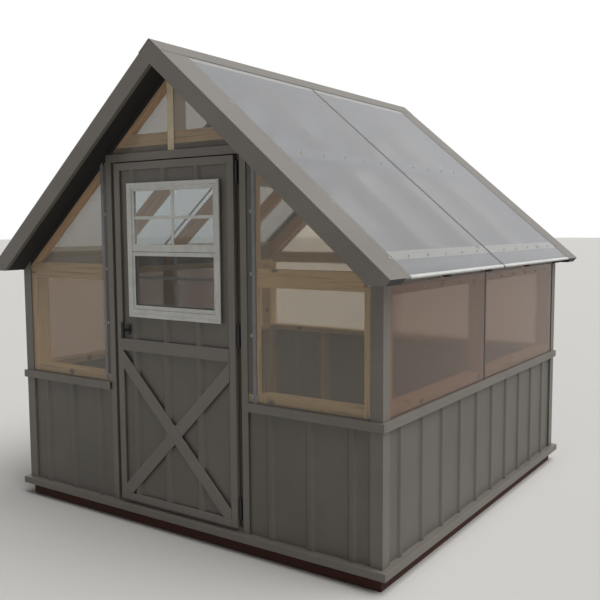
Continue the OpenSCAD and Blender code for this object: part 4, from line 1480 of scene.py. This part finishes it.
@dataclass
class Hardware:
    """Hinges, latch and the washered screws.

    Attributes:
        spacing: Spacing of the screws in the rows along the house.
        half_row: Number of screws on each side of a row's middle.
        runs: Middle and eave rows, down the slope.
        rake_row: Row in the rake trims, from the rake's face.
        plate_drop: Row in the side walls, below the top of the plate.
        beside: Rows beside the door: distance from the middle, foot, spacing and number.
        washer: Profile of a washer: radius and height in millimetres.
        head: Profile of a head, with a sunk top.
        washer_facets: Facets round the washer.
        ease: Width of the rounded edges of hinges and latch.
    """

    spacing: float = 203 * MM
    half_row: int = 5
    runs: tuple[float, float] = (859 * MM, 1622 * MM)
    rake_row: float = 183 * MM
    plate_drop: float = 19 * MM
    beside: tuple[float, float, float, int] = (505 * MM, 808 * MM, 300 * MM, 4)
    washer: Profile = ((0, 0), (7.5, 0), (7.5, 0.5), (7.0, 1.0), (5.8, 1.7), (5.4, 1.9), (0, 1.9))
    head: Profile = ((0, 1.8), (4.4, 1.8), (4.4, 4.4), (3.8, 5.0), (2.4, 4.6), (0, 4.6))
    washer_facets: int = 20
    ease: float = 0.5 * MM

    def places(self) -> tuple[Array, Array]:
        """Where the screws stand, and their directions.

        Returns:
            Places and outward directions, each of shape (m, 3).
        """
        row = np.arange(1, self.half_row + 1) * self.spacing
        row = np.r_[-row[::-1], row]
        middle, eave = self.runs
        down = middle + np.arange(-1, 3) * (eave - middle) / 2
        y = HOUSE.rake_y - self.rake_row
        rows = []
        for side in (1, -1):
            up = np.array([side * math.sin(HOUSE.slope), 0.0, math.cos(HOUSE.slope)])
            rows += [(on_slope(side, run, row, HOUSE.panel), up) for run in self.runs]
            rows += [(on_slope(side, down, place, HOUSE.cover), up) for place in (-y, y)]
        for wall in (Wall.RIGHT, Wall.LEFT):
            z = HOUSE.plate_top - self.plate_drop
            rows.append((on_wall(wall, row, HOUSE.cover, z), wall.ways()[1]))
        x, foot, step, count = self.beside
        z = foot + step * np.arange(count)
        for place in (-x, x):
            rows.append((on_wall(Wall.FRONT, place, HOUSE.cover, z), Wall.FRONT.ways()[1]))
        ways = [np.broadcast_to(way, where.shape) for where, way in rows]
        return np.vstack([where for where, _ in rows]), np.vstack(ways)

    def screws(self) -> None:
        """Makes the screws: a cupped washer, and a six-sided head."""
        where, way = self.places()
        base = spun(np.array(self.washer) * MM, self.washer_facets)
        hexagon = spun(np.array(self.head) * MM, 6)
        piece("screw_washers", repeated(base, where, way), ZINC, "panel_screws")
        piece("screw_heads", repeated(hexagon, where, way), DARK_ZINC, "panel_screws")

    def build(self) -> None:
        """Makes the screws and eases the hinges and the latch."""
        self.screws()
        hinges = ("hinge_jamb_leaves", "hinge_pins", "hinge_door_leaves")
        for node in (*hinges, "latch_rose", "latch_handle", "latch_cam"):
            eased(node, COATED, self.ease)


@dataclass
class TimberFrame:
    """The boards of the frame, with eased edges and the grain along each board.

    Attributes:
        ease: Width of the eased edges.
        wander: How far a board's texture is shifted at most, so that no two look alike.
        seed: Start of the random shifts and shades.
        aligned: Cosine above which two directions count as one.
    """

    ease: float = 2.5 * MM
    wander: float = 40.0
    seed: int = 7
    aligned: float = 0.8

    def board_labels(self, pairs: Array, count: int) -> Array:
        """Numbers the boards: each corner takes the lowest number among its edges' ends.

        Args:
            pairs: Corner numbers of the edges, shape (m, 2).
            count: Number of corners.

        Returns:
            A board number for each corner, from zero.
        """
        label = np.arange(count)
        while True:
            new = label.copy()
            np.minimum.at(new, pairs.ravel(), np.repeat(label[pairs].min(axis=1), 2))
            if np.array_equal(new, label):
                return np.unique(label, return_inverse=True)[1]
            label = new

    def grain_axes(self, points: Array, label: Array) -> Array:
        """The direction of each board: that one of the building's in which it is longest.

        Args:
            points: Corner positions, shape (n, 3).
            label: Board number of each corner.

        Returns:
            A direction for each board.
        """
        s, c = math.sin(HOUSE.slope), math.cos(HOUSE.slope)
        ways = np.array([[1, 0, 0], [0, 1, 0], [0, 0, 1], [c, 0, -s], [c, 0, s]], float)
        along = points @ ways.T
        high = np.full((label.max() + 1, len(ways)), -np.inf)
        low = -high
        np.maximum.at(high, label, along)
        np.minimum.at(low, label, along)
        return ways[np.argmax(high - low, axis=1)]

    def lay_grain(self, data: bpy.types.Mesh) -> None:
        """Writes the grain's texture map and each board's number between zero and one.

        A corner's first texture number is its distance along the board, and its second the
        distance across the face it is in, both in metres and shifted by a random amount per
        board. On a board's end another direction takes the place of the board's own.

        Args:
            data: The mesh of one timber node.
        """
        points = taken(data.vertices, "co", 3)
        label = self.board_labels(taken(data.edges, "vertices", 2, int), len(points))
        axis = self.grain_axes(points, label)
        rng = np.random.default_rng(self.seed + len(points))
        shift = rng.uniform(0, self.wander, (label.max() + 1, 2))
        own = rng.uniform(0, 1, label.max() + 1)
        corner = taken(data.loops, "vertex_index", 1, int).ravel()
        total = taken(data.polygons, "loop_total", 1, int).ravel()
        normal = np.repeat(taken(data.polygons, "normal", 3), total, axis=0)
        way = axis[label[corner]]
        end = np.abs(np.einsum("ij,ij->i", normal, way)) > self.aligned
        other = np.where(np.abs(way[:, :1]) > self.aligned, [[0, 1, 0]], [[1, 0, 0]])
        square = unit(other - way * np.einsum("ij,ij->i", other, way)[:, None])
        way = np.where(end[:, None], square, way)
        across = np.cross(normal, way)
        p = points[corner]
        uv = np.column_stack([np.einsum("ij,ij->i", p, way), np.einsum("ij,ij->i", p, across)])
        uv += shift[label[corner]]
        layer = data.uv_layers.new(name="grain")
        layer.uv.foreach_set("vector", uv.ravel())
        shade = data.attributes.new("board", "FLOAT", "POINT")
        shade.data.foreach_set("value", own[label])

    def build(self) -> None:
        """Makes the boards of every timber node."""
        finishes = {
            "base_timbers": TREATED,
            "bottom_plates": PINE,
            "corner_posts": PINE,
            "wall_studs": PINE,
            "sill_plates": PINE,
            "top_plates": PINE,
            "gable_girts": PINE,
            "door_jambs": PINE,
            "door_liner": LINING,
            "door_stops": LINING,
            "door_header": PINE,
            "king_posts": PALE_PINE,
            "rafters": RAFTER_PINE,
            "purlins": PALE_PINE,
            "ridge_board": PINE,
            "eave_blocks": SHADED,
            "fly_rafters": PINE,
            "door_core": PINE,
        }
        for node, finish in finishes.items():
            data = merged(node)
            self.lay_grain(data)
            eased(node, finish, self.ease, data)


@dataclass
class Glazing:
    """Twin-wall panels, their joiner strips and edge channels.

    Attributes:
        strip: Slim channels beside the door casings: inner and outer edge, from the middle.
        foot: Their foot.
        depth: How far they stand on the cover of the glazing.
        metal: Thickness of their metal.
        bend: Radius of their bends.
        under_rake: Depth below the roof's trims at which their tops are cut.
    """

    strip: tuple[float, float] = (514 * MM, 535 * MM)
    foot: float = 776 * MM
    depth: float = 1.2 * MM
    metal: float = 0.8 * MM
    bend: float = 1.0 * MM
    under_rake: float = 95 * MM

    def edge_strips(self) -> None:
        """Makes the slim channels on the glazing beside the door casings, cut under the rakes."""
        near, far = self.strip
        low, high = HOUSE.cover, HOUSE.cover + self.depth
        path = [[far, low], [far, high], [near, high], [near, low]]
        loop = sheet_loop(path, self.metal, self.bend)
        top = HOUSE.slope_z(loop[:, 0], HOUSE.cover - self.under_rake)
        z = np.stack([np.full(len(loop), self.foot), top])
        x, out = loop[None, :, 0], loop[None, :, 1]
        parts = [loft(on_wall(Wall.FRONT, side * x, out, z)) for side in (1, -1)]
        piece("glazing_edge_strips", joined(parts), EDGE)

    def build(self) -> None:
        """Dresses the panels and strips, which keep their solids' shapes."""
        finishes = {
            WALL_SHEET_X: ("glazing_front", "glazing_back"),
            WALL_SHEET_Y: ("glazing_right", "glazing_left"),
            ROOF_SHEET: ("roof_panels_right", "roof_panels_left"),
            JOINER: ("roof_joiners", "wall_joiners"),
            STRIP: ("gable_strip",),
            CHANNEL: ("eave_channels",),
        }
        for finish, nodes in finishes.items():
            for node in nodes:
                dress(node, finish)
        self.edge_strips()


# Studio


@dataclass
class Studio:
    """A pale floor, a soft lamp and the camera at the photograph's place.

    Attributes:
        eye: Where the camera stands.
        yaw: Turn of the view to the left of straight ahead.
        pitch: Tilt of the view, up being positive.
        roll: Roll of the camera.
        lens: Focal length on the sensor.
        sensor: Width of the sensor.
        sight: Distance to which the camera sees.
        key: Direction that the lamp's light comes from.
        spread: Angle that the lamp fills, in degrees.
        power: Irradiance square to the light; a white surface looks white at pi.
        dim: Strength of the sky's light.
        reach: Half the width of the floor.
    """

    eye: tuple[float, float, float] = (2.84265, -4.21139, 1.62364)
    yaw: float = math.radians(34.487)
    pitch: float = math.radians(-5.181)
    roll: float = math.radians(-0.332)
    lens: float = 47.197
    sensor: float = 36.0
    sight: float = 400.0
    key: tuple[float, float, float] = (1.0, 0.15, 2.1)
    spread: float = 60.0
    power: float = 3.1
    dim: float = 0.13
    reach: float = 120.0

    def stand(self, made: bpy.types.Object, axes: list[Array], at: tuple[float, ...]) -> None:
        """Links an object and turns it.

        Args:
            made: The camera or the lamp.
            axes: Its own three directions.
            at: Its place.
        """
        bpy.context.scene.collection.objects.link(made)
        turn = np.eye(4)
        turn[:3, :3], turn[:3, 3] = np.column_stack(axes), at
        made.matrix_world = turn.T.tolist()

    def camera(self) -> None:
        """Sets the camera up from its three turns."""
        ahead = math.cos(self.pitch)
        side, front = math.sin(self.yaw), math.cos(self.yaw)
        forward = np.array([-side * ahead, front * ahead, math.sin(self.pitch)])
        level = np.array([front, side, 0.0])
        up = np.cross(level, forward)
        right = level * math.cos(self.roll) + up * math.sin(self.roll)
        top = -level * math.sin(self.roll) + up * math.cos(self.roll)
        made = bpy.data.objects.new("camera", bpy.data.cameras.new("camera"))
        self.stand(made, [right, top, -forward], self.eye)
        made.data.lens = self.lens
        made.data.sensor_width = self.sensor
        made.data.clip_end = self.sight
        bpy.context.scene.camera = made

    def lamp(self) -> None:
        """Adds a broad soft lamp, so far away that it lights the whole floor alike."""
        made = bpy.data.objects.new("key", bpy.data.lights.new("key", "SUN"))
        made.data.angle = math.radians(self.spread)
        made.data.energy = self.power
        back = unit(np.array(self.key))
        side = unit(np.cross([0.0, 0.0, 1.0], back))
        self.stand(made, [side, np.cross(back, side), back], (0.0, 0.0, 0.0))

    def sky(self) -> None:
        """A soft grey world that camera, gloss and glass see as white."""
        world = bpy.data.worlds.new("studio")
        bpy.context.scene.world = world
        world.use_nodes = True
        tree = world.node_tree
        tree.nodes.clear()
        ray = add(tree, "LightPath").outputs
        kinds = {0: ray["Is Camera Ray"], 1: ray["Is Glossy Ray"]}
        seen = add(tree, "Math", kinds, operation="MAXIMUM")
        kinds = {0: seen, 1: ray["Is Transmission Ray"]}
        seen = add(tree, "Math", kinds, operation="MAXIMUM")
        lit = add(tree, "Background", {"Color": "#f4f6f8", "Strength": self.dim})
        shown = add(tree, "Background", {"Color": "#ffffff", "Strength": 1.0})
        mixed = add(tree, "MixShader", {0: seen, 1: lit, 2: shown})
        add(tree, "OutputWorld", {"Surface": mixed})

    def floor(self) -> None:
        """A plain pale floor, wide enough for every view."""
        data = bpy.data.meshes.new("floor")
        corners = np.array([[-1, -1, 0], [1, -1, 0], [1, 1, 0], [-1, 1, 0]]) * self.reach
        data.from_pydata(corners.tolist(), [], [(0, 1, 2, 3)])
        data.materials.append(FLOOR.build())
        ground = bpy.data.objects.new("floor", data)
        bpy.context.scene.collection.objects.link(ground)

    def build(self) -> None:
        """Sets the studio up."""
        self.camera()
        self.sky()
        self.floor()
        self.lamp()
        bpy.context.scene.view_settings.view_transform = "Standard"


def main() -> None:
    """Builds the greenhouse and its studio."""
    logging.basicConfig(level=logging.INFO, format="%(message)s")
    TimberFrame().build()
    SteelCladding().build()
    SteelTrims().build()
    Glazing().build()
    DoorLeaf().build()
    SashWindow().build()
    Hardware().build()
    Studio().build()


if __name__ == "__main__":
    main()
